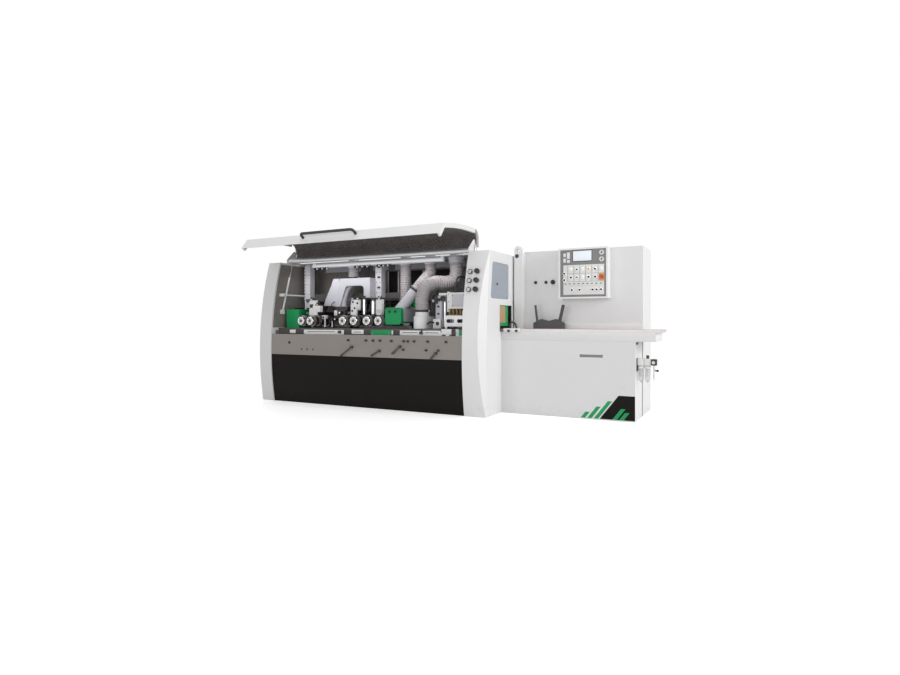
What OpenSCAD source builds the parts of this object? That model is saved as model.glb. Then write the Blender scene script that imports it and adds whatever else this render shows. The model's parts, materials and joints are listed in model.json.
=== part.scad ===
// Four sided moulder: an arched enclosure with an opening front hood, six spindles, six driven
// feed rollers and dust ducts, with an infeed table and an electrical cabinet at its right end.
// X runs along the feed with the infeed at +X, Y runs to the back, Z runs up from the floor.

/* [Enclosure] */
// Length of the arched enclosure
body_len = 2980; // [2900:10:3200]
// Height of the enclosure
body_top = 1680; // [1660:5:1760]
// Back of the enclosure, measured from the infeed base's front
body_back = 900; // [880:5:980]
// Reach of the front's bulge ahead of the infeed base
front_reach = 458; // [440:1:500]
// Radius of the bulged front
front_r = 3590; // [3200:10:4200]
// Height at which the front bulges most
front_apex_z = 622; // [560:1:700]
// Width of the left column
left_col_w = 180; // [160:1:200]
// Width of the right tower
tower_w = 240; // [220:1:280]
// Wall of the columns, the roof and the back
shell_t = 8; // [5:0.5:12]
// Depth of the facet on the tower's front corner
facet_depth = 48; // [30:1:60]
// Height of the black lower panel
lower_panel_h = 567; // [520:1:600]
// Height of the grey upper panel
upper_panel_h = 241; // [220:1:250]
// Sheet of the two front panels
panel_t = 6; // [4:0.5:8]
// Setback of the panels behind the columns' front
panel_recess = 12; // [8:1:20]

/* [Bed] */
// Height of the bed and of the infeed table
bed_z = 880; // [860:1:920]
// Thickness of the bed and table plates
bed_plate_t = 28; // [20:1:36]
// Wall of the cast bed
bed_wall = 40; // [30:1:60]
// Front face of the inner back wall
wall_y = 350; // [345:1:400]
// Face of the fence that guides the stock
fence_y = 210; // [205:1:216]
// Widest stock
stock_w = 230; // [200:1:240]
// Stock thickness that the rollers are set to
stock_t = 25; // [20:1:32]
// Clear height of the infeed and outfeed mouths
mouth_h = 250; // [220:1:280]

/* [Hood] */
// Angle between the hood's open and closed positions
hood_swing = 75; // [65:1:78]
// Sheet of the hood
hood_t = 4; // [3:0.5:6]
// Depth of the foam liner
liner_t = 30; // [20:1:36]
// Depth of the ribs at the hood's ends
hood_rib = 45; // [40:1:52]
// Radius of the hinge tube
hinge_tube_r = 29; // [24:0.5:32]
// Radius of the hinge pins
hinge_pin_r = 12; // [8:0.5:14]
// Radius of the handle's tube
handle_r = 15; // [12:0.5:18]

/* [Feed] */
// Radius of a feed roller
roller_r = 60; // [54:0.5:64]
// Width of one feed wheel on a roller
wheel_w = 50; // [40:1:60]
// Radius of the roller shafts
roller_shaft_r = 20; // [16:0.5:24]
// Upward travel of a roller carrier
carrier_lift = 25; // [15:1:28]
// Height of the feed beam
beam_h = 100; // [80:1:120]

/* [Spindles] */
// Radius of the cutterheads
cutter_r = 62; // [58:0.5:64]
// Length of the cutterheads on the level spindles
cutter_len = 240; // [220:1:244]
// Length of the cutterheads on the upright spindles
upright_cutter_len = 90; // [70:1:100]
// Radius of the spindle shafts
spindle_r = 20; // [16:0.5:24]
// Radius of the spindle quills
quill_r = 55; // [45:0.5:57]
// Radius of the spindle motors
motor_r = 95; // [85:0.5:98]

/* [Dust] */
// Outer radius of the ribs on the main dust hose
main_hose_r = 75; // [68:0.5:80]
// Outer radius of the ribs on the other dust hoses
small_hose_r = 64; // [56:0.5:66]
// Height of a hose's ribs
hose_rib_h = 6; // [4:0.5:8]
// Sheet of the dust hoods and ducts
duct_t = 5; // [3:0.5:7]

/* [Infeed] */
// Length of the infeed base
base_len = 1364; // [1300:1:1450]
// Length of the infeed table past the enclosure
table_len = 1588; // [1560:1:1700]
// Depth of the infeed table
table_d = 434; // [420:1:440]
// Depth of the beam under the infeed table
table_beam_h = 85; // [70:1:100]
// Sheet of the base and the cabinet
sheet_t = 5; // [3:0.5:8]

/* [Cabinet] */
// Height of the electrical cabinet
cabinet_h = 1726; // [1700:1:1780]
// Depth of the electrical cabinet
cabinet_d = 496; // [460:1:560]
// Width of the control box
box_w = 515; // [480:1:550]
// Height of the control box
box_h = 528; // [500:1:560]
// Depth of the control box
box_d = 121; // [100:1:140]

/* [Hidden] */
$fn = 64;
// Sides of the large arcs
large_fn = 720;
// Overrun of every cut
over = 2;
// Running clearance between a shaft and its bore
fit = 0.05;
// Gap between pieces that pass each other
gap = 0.5;

// Main planes
x_end_l = -body_len / 2;
x_end_r = body_len / 2;
x_l = x_end_l + left_col_w;
x_r = x_end_r - tower_w;
front_cy = front_r - front_reach;
function front_y(z, inset = 0) = front_cy - sqrt(pow(front_r - inset, 2) - pow(z - front_apex_z, 2));
function front_tilt(z) = asin((z - front_apex_z) / front_r);
plate_z = bed_z - bed_plate_t;
panel_z = lower_panel_h + upper_panel_h;
bed_front_gap = 6;
bed_front = front_y(0, panel_recess + panel_t) + bed_front_gap;
plate_setback = 50;
plate_front = bed_front + plate_setback;
mouth_front = -48;
mouth_back = 300;
roof_front = -60;
roof_z = body_top - shell_t;

// Helpers for shapes along each axis
module span(a, b) { translate(a) cube(b - a); }
module along_x(x0, x1) { translate([x0, 0, 0]) rotate([90, 0,
    90]) linear_extrude(height = x1 - x0) children(); }
module along_y(y0, y1) { translate([0, y1, 0]) rotate([90, 0,
    0]) linear_extrude(height = y1 - y0) children(); }
module along_z(z0, z1) { translate([0, 0, z0]) linear_extrude(height = z1 - z0) children(); }
module rod_x(p, h, r) { translate(p) rotate([0, 90, 0]) cylinder(r = r, h = h); }
module rod_y(p, h, r) { translate(p) rotate([-90, 0, 0]) cylinder(r = r, h = h); }
module rod_z(p, h, r) { translate(p) cylinder(r = r, h = h); }
module disc(p, r) { translate(p) circle(r = r); }
module large_disc(p, r) { translate(p) circle(r = r, $fn = large_fn); }
// A flat bar with round ends between two points
bar_share = 0.96;
module bar_2d(p, q, r) {
    disc(p, r);
    disc(q, r);
    translate(p) rotate(atan2(q[1] - p[1], q[0] - p[0])) translate([0, -bar_share * r])
        square([norm(q - p), 2 * bar_share * r]);
}
// A rectangle with round corners
module round_rect(a, b, r) {
    translate(a + [r, 0]) square([b[0] - a[0] - 2 * r, b[1] - a[1]]);
    translate(a + [0, r]) square([b[0] - a[0], b[1] - a[1] - 2 * r]);
    for (x = [a[0] + r, b[0] - r], y = [a[1] + r, b[1] - r]) disc([x, y], r);
}
// The points of an outline with every corner rounded
round_steps = 5;
function unit(v) = v / norm(v);
function corner(a, p, b, r) =
    let (u = unit(a - p), w = unit(b - p), half = acos(u * w) / 2,
        c = p + unit(u + w) * r / sin(half),
        a0 = atan2((p + u * r / tan(half) - c)[1], (p + u * r / tan(half) - c)[0]),
        a1 = atan2((p + w * r / tan(half) - c)[1], (p + w * r / tan(half) - c)[0]),
        turn = a1 - a0 > 180 ? a1 - a0 - 360 : a1 - a0 < -180 ? a1 - a0 + 360 : a1 - a0)
    [for (i = [0 : round_steps]) c + r * [cos(a0 + turn * i / round_steps),
        sin(a0 + turn * i / round_steps)]];
function rounded(pts, r) = [for (i = [0 : len(pts) - 1])
    each corner(pts[(i + len(pts) - 1) % len(pts)], pts[i], pts[(i + 1) % len(pts)], r)];
// An open line of points moved sideways, and the strip between two such lines
function side(a, b) = unit([b[1] - a[1], a[0] - b[0]]);
function moved(pts, d) = [for (i = [0 : len(pts) - 1])
    let (last = len(pts) - 1, m = side(pts[max(i - 1, 0)], pts[max(i, 1)]),
        n = side(pts[min(i, last - 1)], pts[min(i + 1, last)]))
    pts[i] + d * (m + n) / (1 + m * n)];
function back_to_front(pts) = [for (i = [len(pts) - 1 : -1 : 0]) pts[i]];
function strip(pts, d0, d1) = concat(moved(pts, d0), back_to_front(moved(pts, d1)));
// A round bar or a pipe between two points in space
module pipe(p, q, r, spin = 0) {
    d = q - p;
    translate(p) rotate([0, acos(d[2] / norm(d)), atan2(d[1], d[0])]) rotate(spin) cylinder(r = r, h = norm(d));
}
// The circle through three points, as centre and radius
function circle_through(a, b, c) =
    let (d = 2 * (a[0] * (b[1] - c[1]) + b[0] * (c[1] - a[1]) + c[0] * (a[1] - b[1])),
        x = ((a * a) * (b[1] - c[1]) + (b * b) * (c[1] - a[1]) + (c * c) * (a[1] - b[1])) / d,
        y = ((a * a) * (c[0] - b[0]) + (b * b) * (a[0] - c[0]) + (c * c) * (b[0] - a[0])) / d)
    [x, y, norm(a - [x, y])];

// Enclosure
module front_zone(inset, z0, z1) {
    intersection() {
        large_disc([front_cy, front_apex_z], front_r - inset);
        translate([-front_reach, z0]) square([front_reach + body_back - inset, z1 - z0]);
    }
}
module mouth(x0, x1) {
    span([x0 - over, mouth_front, plate_z], [x1 + over, mouth_back, bed_z + mouth_h]);
}
module left_column() {
    color("gainsboro") difference() {
        along_x(x_end_l, x_l) front_zone(0, 0, body_top);
        along_x(x_end_l + shell_t, x_l - shell_t) front_zone(shell_t, -over, roof_z);
        mouth(x_end_l, x_l);
    }
}
facet_edge = 3;
function corner_d(z, cut) = (x_end_r - front_y(z)) / sqrt(2) - cut;
facet = circle_through([corner_d(0, facet_edge), 0], [corner_d(body_top / 2, facet_depth), body_top / 2],
    [corner_d(body_top, facet_edge), body_top]);
module facet_keep(inset) {
    rotate([0, 0, -45]) translate([facet[0], 0, facet[1]]) rotate([90, 0, 0])
        cylinder(r = facet[2] - inset, h = 2 * body_len, center = true, $fn = large_fn);
}
// How far the infeed guard laps over the edge of its mouth
guard_lap = 20;
// Side window: its foot above the infeed guard, its top and its depth as shares of the tower's side
window_up = 44.5;
window_z1_share = 0.935;
window_r = 28;
window_t = 4;
window_front_low = 24;
window_front_high = 98;
window_depth_share = 0.47;
window_z0 = bed_z + mouth_h + guard_lap + window_up;
window_pts = [
    [front_y(window_z0) + window_front_low + shell_t + facet_depth * 2,
        window_z0],
    [window_depth_share * table_d, window_z0],
    [window_depth_share * table_d, window_z1_share * body_top],
    [front_y(window_z1_share * body_top) + window_front_high, window_z1_share * body_top]];
module right_tower() {
    color("white") difference() {
        intersection() {
            along_x(x_r, x_end_r) front_zone(0, 0, body_top);
            facet_keep(0);
        }
        intersection() {
            along_x(x_r + shell_t, x_end_r - shell_t) front_zone(shell_t, -over, roof_z);
            facet_keep(shell_t);
        }
        mouth(x_r, x_end_r);
        along_x(x_end_r - shell_t - over, x_end_r + over) polygon(rounded(window_pts, window_r));
    }
}
window_lap = 12;
module tower_window() {
    color("slategray", 0.6) along_x(x_end_r - shell_t - window_t, x_end_r - shell_t)
        polygon(moved(concat(rounded(window_pts, window_r), [rounded(window_pts, window_r)[0]]),
            window_lap));
}
module panel_zone(z0, z1) {
    intersection() {
        difference() {
            large_disc([front_cy, front_apex_z], front_r - panel_recess);
            large_disc([front_cy, front_apex_z], front_r - panel_recess - panel_t);
        }
        translate([-front_reach, z0]) square([front_reach, z1 - z0]);
    }
}
module lower_panel() { color("black") along_x(x_l, x_r) panel_zone(0, lower_panel_h); }
module upper_panel() {
    color("gray") {
        along_x(x_l, x_r) panel_zone(lower_panel_h, panel_z);
        span([x_l, front_y(panel_z, panel_recess + panel_t / 2), panel_z - panel_t], [x_r, bed_front,
            panel_z]);
    }
}

// Hinge axis of the hood, in Y and Z
hinge_back = 9;
hinge_y = roof_front + hinge_back;
hinge_up = 22;
hinge = [hinge_y, body_top + hinge_up];
lug_r = 30;
lug_w = 24;
hinge_arm_t = 15;
arm_inset = 33;
notch_back = 40;
function arm_x(end) = end < 0 ? x_l + arm_inset : x_r - arm_inset - hinge_arm_t;
function lug_x(end) = end < 0 ? x_l + arm_inset + hinge_arm_t + gap :
    x_r - arm_inset - hinge_arm_t - gap - lug_w;
rib_w = 40;
rear_ribs_shares = [-0.25, 0, 0.25];
module rear_housing() {
    color("gainsboro") {
        difference() {
            union() {
                span([x_l, roof_front, roof_z], [x_r, body_back, body_top]);
                span([x_l, body_back - shell_t, 0], [x_r, body_back, body_top]);
                for (s = rear_ribs_shares) span([s * body_len - shell_t, body_back - rib_w, 0],
                    [s * body_len, body_back, body_top]);
                for (end = [-1, 1]) along_x(lug_x(end), lug_x(end) + lug_w) {
                    disc(hinge, lug_r);
                    translate([hinge_y - lug_r, roof_z]) square([2 * lug_r, hinge_up + shell_t]);
                }
            }
            for (end = [-1, 1]) span([end < 0 ? x_l - over : arm_x(end), roof_front - over, roof_z - over],
                [end < 0 ? arm_x(end) + hinge_arm_t : x_r + over, notch_back, body_top + over]);
            for (i = [0 : len(hose_x) - 1]) rod_z([hose_x[i], dust_y, roof_z - over], shell_t + 2 * over,
                spigot_r(i));
        }
        for (end = [-1, 1]) rod_x([end < 0 ? arm_x(end) : lug_x(end), hinge_y, body_top + hinge_up],
            lug_w + hinge_arm_t + gap, hinge_pin_r);
    }
}

// Bed
spindle_shares = [0.3567, 0.2651, 0.2215, 0.1107, -0.1906, -0.3866];
spindle_x = body_len * spindle_shares;
low_axis = bed_z - cutter_r + over;
high_axis = bed_z + stock_t + cutter_r + gap;
fence_axis = fence_y + cutter_r - over;
front_axis = fence_y - stock_w - cutter_r + over;
bed_top_t = 60;
mid_rib = 80;
pocket_side = 22;
pocket_front = -60;
motor_room = 6;
motor_len = 290;
flange_r = 92;
flange_t = 20;
cavity_z = plate_z - bed_top_t;
module machine_bed() {
    color("dimgray") difference() {
        span([x_l, bed_front, 0], [x_r, wall_y, plate_z]);
        span([x_l + bed_wall, bed_front + bed_wall, -over], [-mid_rib / 2, wall_y - bed_wall, cavity_z]);
        span([mid_rib / 2, bed_front + bed_wall, -over], [x_r - bed_wall, wall_y - bed_wall, cavity_z]);
        for (x = [spindle_x[0], spindle_x[5]]) span([x - cutter_r - pocket_side, pocket_front,
            low_axis - cutter_r - pocket_side],
            [x + cutter_r + pocket_side, wall_y + over, plate_z + over]);
        for (p = [[spindle_x[1], fence_axis], [spindle_x[2], front_axis]]) {
            rod_z([p[0], p[1], 0], plate_z + over, quill_r + fit);
            rod_z([p[0], p[1], -over], cavity_z + over, motor_r + motor_room);
        }
        for (x = [-1, 1] * anchor_dx, y = [-1, 1] * anchor_dy) rod_z([x, y, -over], anchor_depth + over,
            anchor_r);
    }
}
anchor_dx = mid_rib / 4;
anchor_dy = 150;
anchor_r = 9;
anchor_depth = 200;
cutter_room = 8;
module bed_plates() {
    color("lightsteelblue") difference() {
        union() {
            span([x_l, plate_front, plate_z], [x_r, wall_y, bed_z]);
            span([x_end_l, mouth_front, plate_z], [x_l, mouth_back, bed_z]);
        }
        for (x = [spindle_x[0], spindle_x[5]]) span([x - cutter_r - cutter_room, pocket_front,
            plate_z - over],
            [x + cutter_r + cutter_room, wall_y + over, bed_z + over]);
        span([spindle_x[1] - cutter_r - cutter_room, fence_axis - cutter_r - cutter_room, plate_z - over],
            [spindle_x[1] + cutter_r + cutter_room, wall_y + over, bed_z + over]);
        rod_z([spindle_x[2], front_axis, plate_z - over], bed_plate_t + 2 * over, cutter_r + cutter_room);
    }
}

// Fences, pressure shoe and bars along the bed's front edge
fence_t = 30;
fence_h = 60;
fence_breaks = concat([x_l - cutter_r - cutter_room],
    [spindle_x[5], spindle_x[4], spindle_x[3], spindle_x[1], spindle_x[0]], [x_r + cutter_r + cutter_room]);
shoe_x0_share = 0.3188;
shoe_x1_share = 0.4027;
shoe_y = -250;
shoe_t = 35;
shoe_low = 25;
shoe_h = 115;
shoe_leg = 25;
slot_r = 20;
slot_half = 26;
slot_shares = [0.25, 0.75];
bar_t = 15;
bar_h = 36;
bar_z = 8;
edge_bars_shares = [[-0.2822, -0.0953], [0.0332, 0.1218], [0.16, 0.3319], [0.3473, 0.3607], [0.3859,
    0.4128]];
module fence_guides() {
    color("whitesmoke") {
        for (i = [0 : len(fence_breaks) - 2]) span([fence_breaks[i] + cutter_r + cutter_room, fence_y,
            bed_z],
            [fence_breaks[i + 1] - cutter_r - cutter_room, fence_y + fence_t, bed_z + fence_h]);
        along_y(shoe_y, shoe_y + shoe_t) difference() {
            translate([shoe_x0_share * body_len, bed_z])
                square([(shoe_x1_share - shoe_x0_share) * body_len, shoe_low + shoe_h]);
            translate([shoe_x0_share * body_len + shoe_leg, bed_z - over])
                square([(shoe_x1_share - shoe_x0_share) * body_len - 2 * shoe_leg, shoe_low + over]);
            for (s = slot_shares) let (x = (shoe_x0_share + s * (shoe_x1_share - shoe_x0_share)) * body_len,
                z = bed_z + shoe_low + shoe_h / 2) bar_2d([x - slot_half, z], [x + slot_half, z], slot_r);
        }
        for (s = edge_bars_shares) span([s[0] * body_len, bed_front - bar_t, plate_z - bar_z - bar_h],
            [s[1] * body_len, bed_front, plate_z - bar_z]);
    }
}

// Inner wall with its window openings and the side rail
wall_t = 8;
wall_win_shares = [[-0.012, 0.028], [0.125, 0.168], [0.238, 0.285]];
wall_win_z_share = 0.795;
wall_win_z0 = wall_win_z_share * body_top;
wall_win_h = 235;
rail_r = 9;
rail_in = 55;
rail_front = -300;
rail_up = 80;
rail_block = 16;
module inner_wall() {
    color("darkslategray") {
        difference() {
            span([x_l, wall_y, bed_z], [x_r, wall_y + wall_t, roof_z]);
            for (s = wall_win_shares) span([s[0] * body_len, wall_y - over, wall_win_z0],
                [s[1] * body_len, wall_y + wall_t + over, wall_win_z0 + wall_win_h]);
            for (x = [spindle_x[3], spindle_x[4]]) rod_y([x, wall_y - over, high_axis],
                wall_t + 2 * over, quill_r + fit);
            for (x = [spindle_x[0], spindle_x[5]]) rod_y([x, wall_y - over, low_axis], wall_t + 2 * over,
                flange_r + gap);
        }
    }
}
lamp_r = 18;
lamp_drop = 32;
lamp_shares = [-0.336, 0.277];
lamp_foot = 30;
module work_lamp() {
    color("white") {
        rod_x([lamp_shares[0] * body_len, roof_front, roof_z - lamp_drop],
            (lamp_shares[1] - lamp_shares[0]) * body_len, lamp_r);
        for (x = [lamp_shares[0] * body_len, lamp_shares[1] * body_len - lamp_foot])
            span([x, roof_front, roof_z - lamp_drop], [x + lamp_foot, roof_front + lamp_r, roof_z]);
    }
}

// Feed beam, posts, carriers, press cylinders and rollers
roller_shares = [-0.3352, -0.2889, -0.1272, -0.0745, -0.0134, 0.0396];
roller_x = body_len * roller_shares;
roller_z = bed_z + stock_t + roller_r;
function pair_x(i) = (roller_x[2 * i] + roller_x[2 * i + 1]) / 2;
roller_front = -270;
wheel_pitch = 92;
wheel_count = 5;
wheel_edge = 5;
cap_r = 46;
cap_t = 10;
nut_r = 16;
nut_t = 10;
gear_room = 5;
gear_front = fence_y + fence_t + gear_room;
gear_back = wall_y - gear_room;
gear_side = 105;
gear_up = 35;
gear_low = bed_z + gear_up;
arm_room = 15;
arm_z0 = roller_z + roller_r + arm_room;
arm_t = 35;
arm_half = 60;
arm_front = -200;
piston_r = 10;
piston_len = 75;
piston_y = [-120, 90];
press_r = 27;
press_room = 5;
press_z = arm_z0 + arm_t + carrier_lift + press_room;
beam_up = 320;
beam_z = bed_z + beam_up;
rail_z = beam_z + rail_up;
beam_y = 130;
beam_wall = 16;
reach_t = 30;
reach_half = 90;
reach_front = -170;
post_shares = [-0.3956, -0.0329];
post_w = 80;
post_y = 45;
post_drop = 140;
post_low = beam_z - post_drop;
tooth = 14;
tooth_pitch = 40;
module feed_beam() {
    color("lightgray") {
        rod_y([x_l + rail_in, rail_front, rail_z], beam_y + over - rail_front, rail_r);
        span([x_l, rail_front - rail_block, rail_z - rail_block],
            [x_l + rail_in + rail_block, rail_front, rail_z + rail_block]);
        difference() {
            span([x_l, beam_y, beam_z], [x_r, wall_y, beam_z + beam_h]);
            span([x_l - over, beam_y + beam_wall, beam_z + beam_wall],
                [x_r + over, wall_y - beam_wall, beam_z + beam_h - beam_wall]);
        }
        for (i = [0 : 2]) span([pair_x(i) - reach_half, reach_front, beam_z], [pair_x(i) + reach_half,
            beam_y, beam_z + reach_t]);
        for (s = post_shares) span([s * body_len - post_w / 2, post_y, post_low],
            [s * body_len + post_w / 2, beam_y, roof_z]);
        for (z = [beam_z + tooth_pitch : tooth_pitch : roof_z - tooth_pitch])
            span([post_shares[0] * body_len - post_w / 2 - tooth, post_y, z], [post_shares[0] * body_len,
                beam_y, z + tooth]);
    }
}
module press_cylinders() {
    color("silver") for (i = [0 : 2], y = piston_y) difference() {
        union() {
            rod_z([pair_x(i), y, press_z], beam_z - press_z, press_r);
            span([pair_x(i) - press_r, y - press_r, beam_z - reach_t], [pair_x(i) + press_r, y + press_r,
                beam_z]);
        }
        rod_z([pair_x(i), y, press_z - over], beam_z - press_z - over, piston_r + fit);
    }
}
module roller_carrier(i) {
    color("gray") {
        difference() {
            union() {
                span([pair_x(i) - gear_side, gear_front, gear_low], [pair_x(i) + gear_side, gear_back,
                    arm_z0 + arm_t]);
                span([pair_x(i) - arm_half, arm_front, arm_z0], [pair_x(i) + arm_half, gear_front,
                    arm_z0 + arm_t]);
            }
            for (k = [2 * i, 2 * i + 1]) rod_y([roller_x[k], gear_front - over, roller_z],
                gear_back - gear_front, roller_shaft_r + fit);
        }
        for (y = piston_y) rod_z([pair_x(i), y, arm_z0 + arm_t / 2], arm_t / 2 + piston_len, piston_r);
    }
}
module roller_carrier_1() { roller_carrier(0); }
module roller_carrier_2() { roller_carrier(1); }
module roller_carrier_3() { roller_carrier(2); }
module feed_roller(i) {
    color("darkgray") translate([roller_x[i], roller_front, roller_z]) rotate([-90, 0, 0]) {
        cylinder(r = roller_shaft_r, h = gear_back - roller_front - 2 * over);
        for (k = [0 : wheel_count - 1]) translate([0, 0, k * wheel_pitch]) rotate_extrude()
            polygon([[0, 0], [roller_r - wheel_edge, 0], [roller_r, wheel_edge], [roller_r,
                wheel_w - wheel_edge],
                [roller_r - wheel_edge, wheel_w], [0, wheel_w]]);
        translate([0, 0, -cap_t]) cylinder(r = cap_r, h = cap_t);
        translate([0, 0, -cap_t - nut_t]) cylinder(r = nut_r, h = nut_t, $fn = 6);
    }
}
module feed_roller_1() { feed_roller(0); }
module feed_roller_2() { feed_roller(1); }
module feed_roller_3() { feed_roller(2); }
module feed_roller_4() { feed_roller(3); }
module feed_roller_5() { feed_roller(4); }
module feed_roller_6() { feed_roller(5); }

// Spindles: each is built along +Z from the back or bottom of its cutterhead
tail = 145;
nose = 20;
spindle_nut_r = 32;
knife_w = 10;
knife_d = 14;
knives = 4;
module spindle_along_z(length) {
    color("silver") {
        translate([0, 0, -tail]) cylinder(r = spindle_r, h = tail + length + nose);
        linear_extrude(height = length) difference() {
            circle(r = cutter_r);
            for (k = [0 : knives - 1]) rotate(k * 360 / knives) translate([cutter_r - knife_d,
                0]) square([knife_d, knife_w]);
        }
        translate([0, 0, length]) cylinder(r = spindle_nut_r, h = nose, $fn = 6);
    }
}
cutter_past = 4;
cutter_back = fence_y + cutter_past;
module level(x, z) { translate([x, cutter_back, z]) rotate([90, 0, 0]) children(); }
upright_up = 5;
upright_low = bed_z + upright_up;
module upright(x, y) { translate([x, y, upright_low]) children(); }
module bottom_spindle_1() { level(spindle_x[0], low_axis) spindle_along_z(cutter_len); }
module fence_spindle() { upright(spindle_x[1], fence_axis) spindle_along_z(upright_cutter_len); }
module front_spindle() { upright(spindle_x[2], front_axis) spindle_along_z(upright_cutter_len); }
module top_spindle_1() { level(spindle_x[3], high_axis) spindle_along_z(cutter_len); }
module top_spindle_2() { level(spindle_x[4], high_axis) spindle_along_z(cutter_len); }
module bottom_spindle_2() { level(spindle_x[5], low_axis) spindle_along_z(cutter_len); }
quill_clear = 15;
fin_w = 10;
module quill_and_motor(face) {
    difference() {
        union() {
            translate([0, 0, -face - flange_t]) cylinder(r = quill_r, h = face + flange_t - quill_clear);
            translate([0, 0, -face - flange_t]) cylinder(r = flange_r, h = flange_t);
            translate([0, 0, -face - flange_t - motor_len]) cylinder(r = motor_r, h = motor_len);
        }
        translate([0, 0, -tail - fit]) cylinder(r = spindle_r + fit, h = tail);
        for (k = [1 : 3]) translate([0, 0, -face - flange_t - motor_len * k / 4]) difference() {
            cylinder(r = motor_r + over, h = fin_w);
            cylinder(r = motor_r - fin_w, h = fin_w);
        }
    }
}
module spindle_units() {
    color("slategray") {
        for (i = [0, 5]) level(spindle_x[i], low_axis) quill_and_motor(wall_y - cutter_back);
        for (i = [3, 4]) level(spindle_x[i], high_axis) quill_and_motor(wall_y + wall_t - cutter_back);
        upright(spindle_x[1], fence_axis) quill_and_motor(upright_low - cavity_z);
        upright(spindle_x[2], front_axis) quill_and_motor(upright_low - cavity_z);
    }
}

// Dust hoods, ducts, spigots and hoses
dust_y = 60;
hose_x = body_len * [0.0913, 0.2017, 0.3117, -0.1577];
function hose_crest(i) = i == 2 ? main_hose_r : small_hose_r;
function spigot_r(i) = hose_crest(i) - hose_rib_h / 2;
spigot_low = 32;
spigot_up = 100;
collar_w = 24;
module dust_spigots() {
    color("silver") for (i = [0 : len(hose_x) - 1]) difference() {
        union() {
            rod_z([hose_x[i], dust_y, roof_z - spigot_low], spigot_low + shell_t + spigot_up,
                spigot_r(i) - fit);
            rod_z([hose_x[i], dust_y, body_top], duct_t, spigot_r(i) + collar_w);
        }
        rod_z([hose_x[i], dust_y, roof_z - spigot_low - over],
            spigot_low + shell_t + spigot_up + 2 * over, spigot_r(i) - duct_t);
    }
}
green_half = 103;
green_front = -300;
green_back = 140;
green_up = 43;
green_h = 187;
green_low = bed_z + green_up;
green_top = green_low + green_h;
green_r = 30;
tab_t = 10;
tab_half = 40;
out_guard_in = 48;
out_guard_gap = 5;
guard_x = [x_l + out_guard_in, roller_x[0] - roller_r - out_guard_gap];
guard_y = [-240, -20];
out_guard_h = 225;
guard_top = bed_z + out_guard_h;
module green_hoods() {
    color("seagreen") {
        difference() {
            along_y(green_front, green_back) round_rect([spindle_x[3] - green_half, green_low],
                [spindle_x[3] + green_half, green_top], green_r);
            along_y(green_front + duct_t, green_back + over) difference() {
                translate([spindle_x[3] - green_half + duct_t, green_low - over])
                    square([2 * (green_half - duct_t), green_top - green_low - duct_t + over]);
                for (e = [-1, 1]) translate([spindle_x[3] + e * green_half, green_top]) circle(r = green_r);
            }
            rod_z([hose_x[0], dust_y, green_top - 2 * duct_t], 3 * duct_t, small_bore);
            arm_duct(arm_duct_r - duct_t, 0);
        }
        span([spindle_x[3] - tab_half, green_back - tab_t, green_top - duct_t], [spindle_x[3] + tab_half,
            green_back, beam_z]);
        difference() {
            span([guard_x[0], guard_y[0], bed_z], [guard_x[1], guard_y[1], guard_top]);
            span([guard_x[0] + duct_t, guard_y[0] + duct_t, bed_z - over], [guard_x[1] - duct_t,
                guard_y[1] + over, guard_top - duct_t]);
        }
    }
}
dark_half = 95;
dark_front = -60;
dark_back = 205;
dark_h = 259;
dark_top = bed_z + dark_h;
arch_y = [-60, 120];
arch_w = 90;
arch_rise = 273;
arch_out = 110;
arch_gap = 7.5;
arch_top = beam_z + arch_rise;
arch_left = spindle_x[4] - arch_out;
arch_right = post_shares[1] * body_len - post_w / 2 - arch_gap;
arch_r = 45;
white_half = 80;
white_front = -330;
white_h = 130;
white_top = bed_z + white_h;
white_wall = 10;
white_lap = 16;
white_back = front_axis + white_lap;
white_collar_y = -230;
white_collar_h = 50;
white_bore = main_hose_r - hose_rib_h - duct_t;
arch_in_l = [arch_left + 2 * arch_w, arch_top - arch_w];
arch_in_r = [arch_right - arch_w, arch_top - arch_w];
arm_duct_in = 115;
arm_duct_out = 36;
arm_duct_rise = 180;
arm_duct_y = [-180, -100];
arm_duct_top = [hose_x[1] - arm_duct_in, arm_duct_y[1], green_top + arm_duct_rise];
arm_duct_end = [spindle_x[3] + arm_duct_out, arm_duct_y[0], green_top];
arm_duct_r = small_hose_r - hose_rib_h / 2;
small_bore = small_hose_r - hose_rib_h - duct_t;
module arch_2d(i, drop) {
    polygon(concat([[arch_left + i, dark_top - drop], [arch_left + arch_w - i, dark_top - drop]],
        corner([arch_left + arch_w - i, dark_top], arch_in_l + [-i, i], arch_in_r + [i, i], arch_r),
        corner(arch_in_l + [-i, i], arch_in_r + [i, i], [arch_right - arch_w + i, beam_z + reach_t],
            arch_r),
        [[arch_right - arch_w + i, beam_z + reach_t - drop], [arch_right - i, beam_z + reach_t - drop],
        [arch_right - i, arch_top - i], [arch_left + arch_w + i, arch_top - i]]));
}
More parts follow.
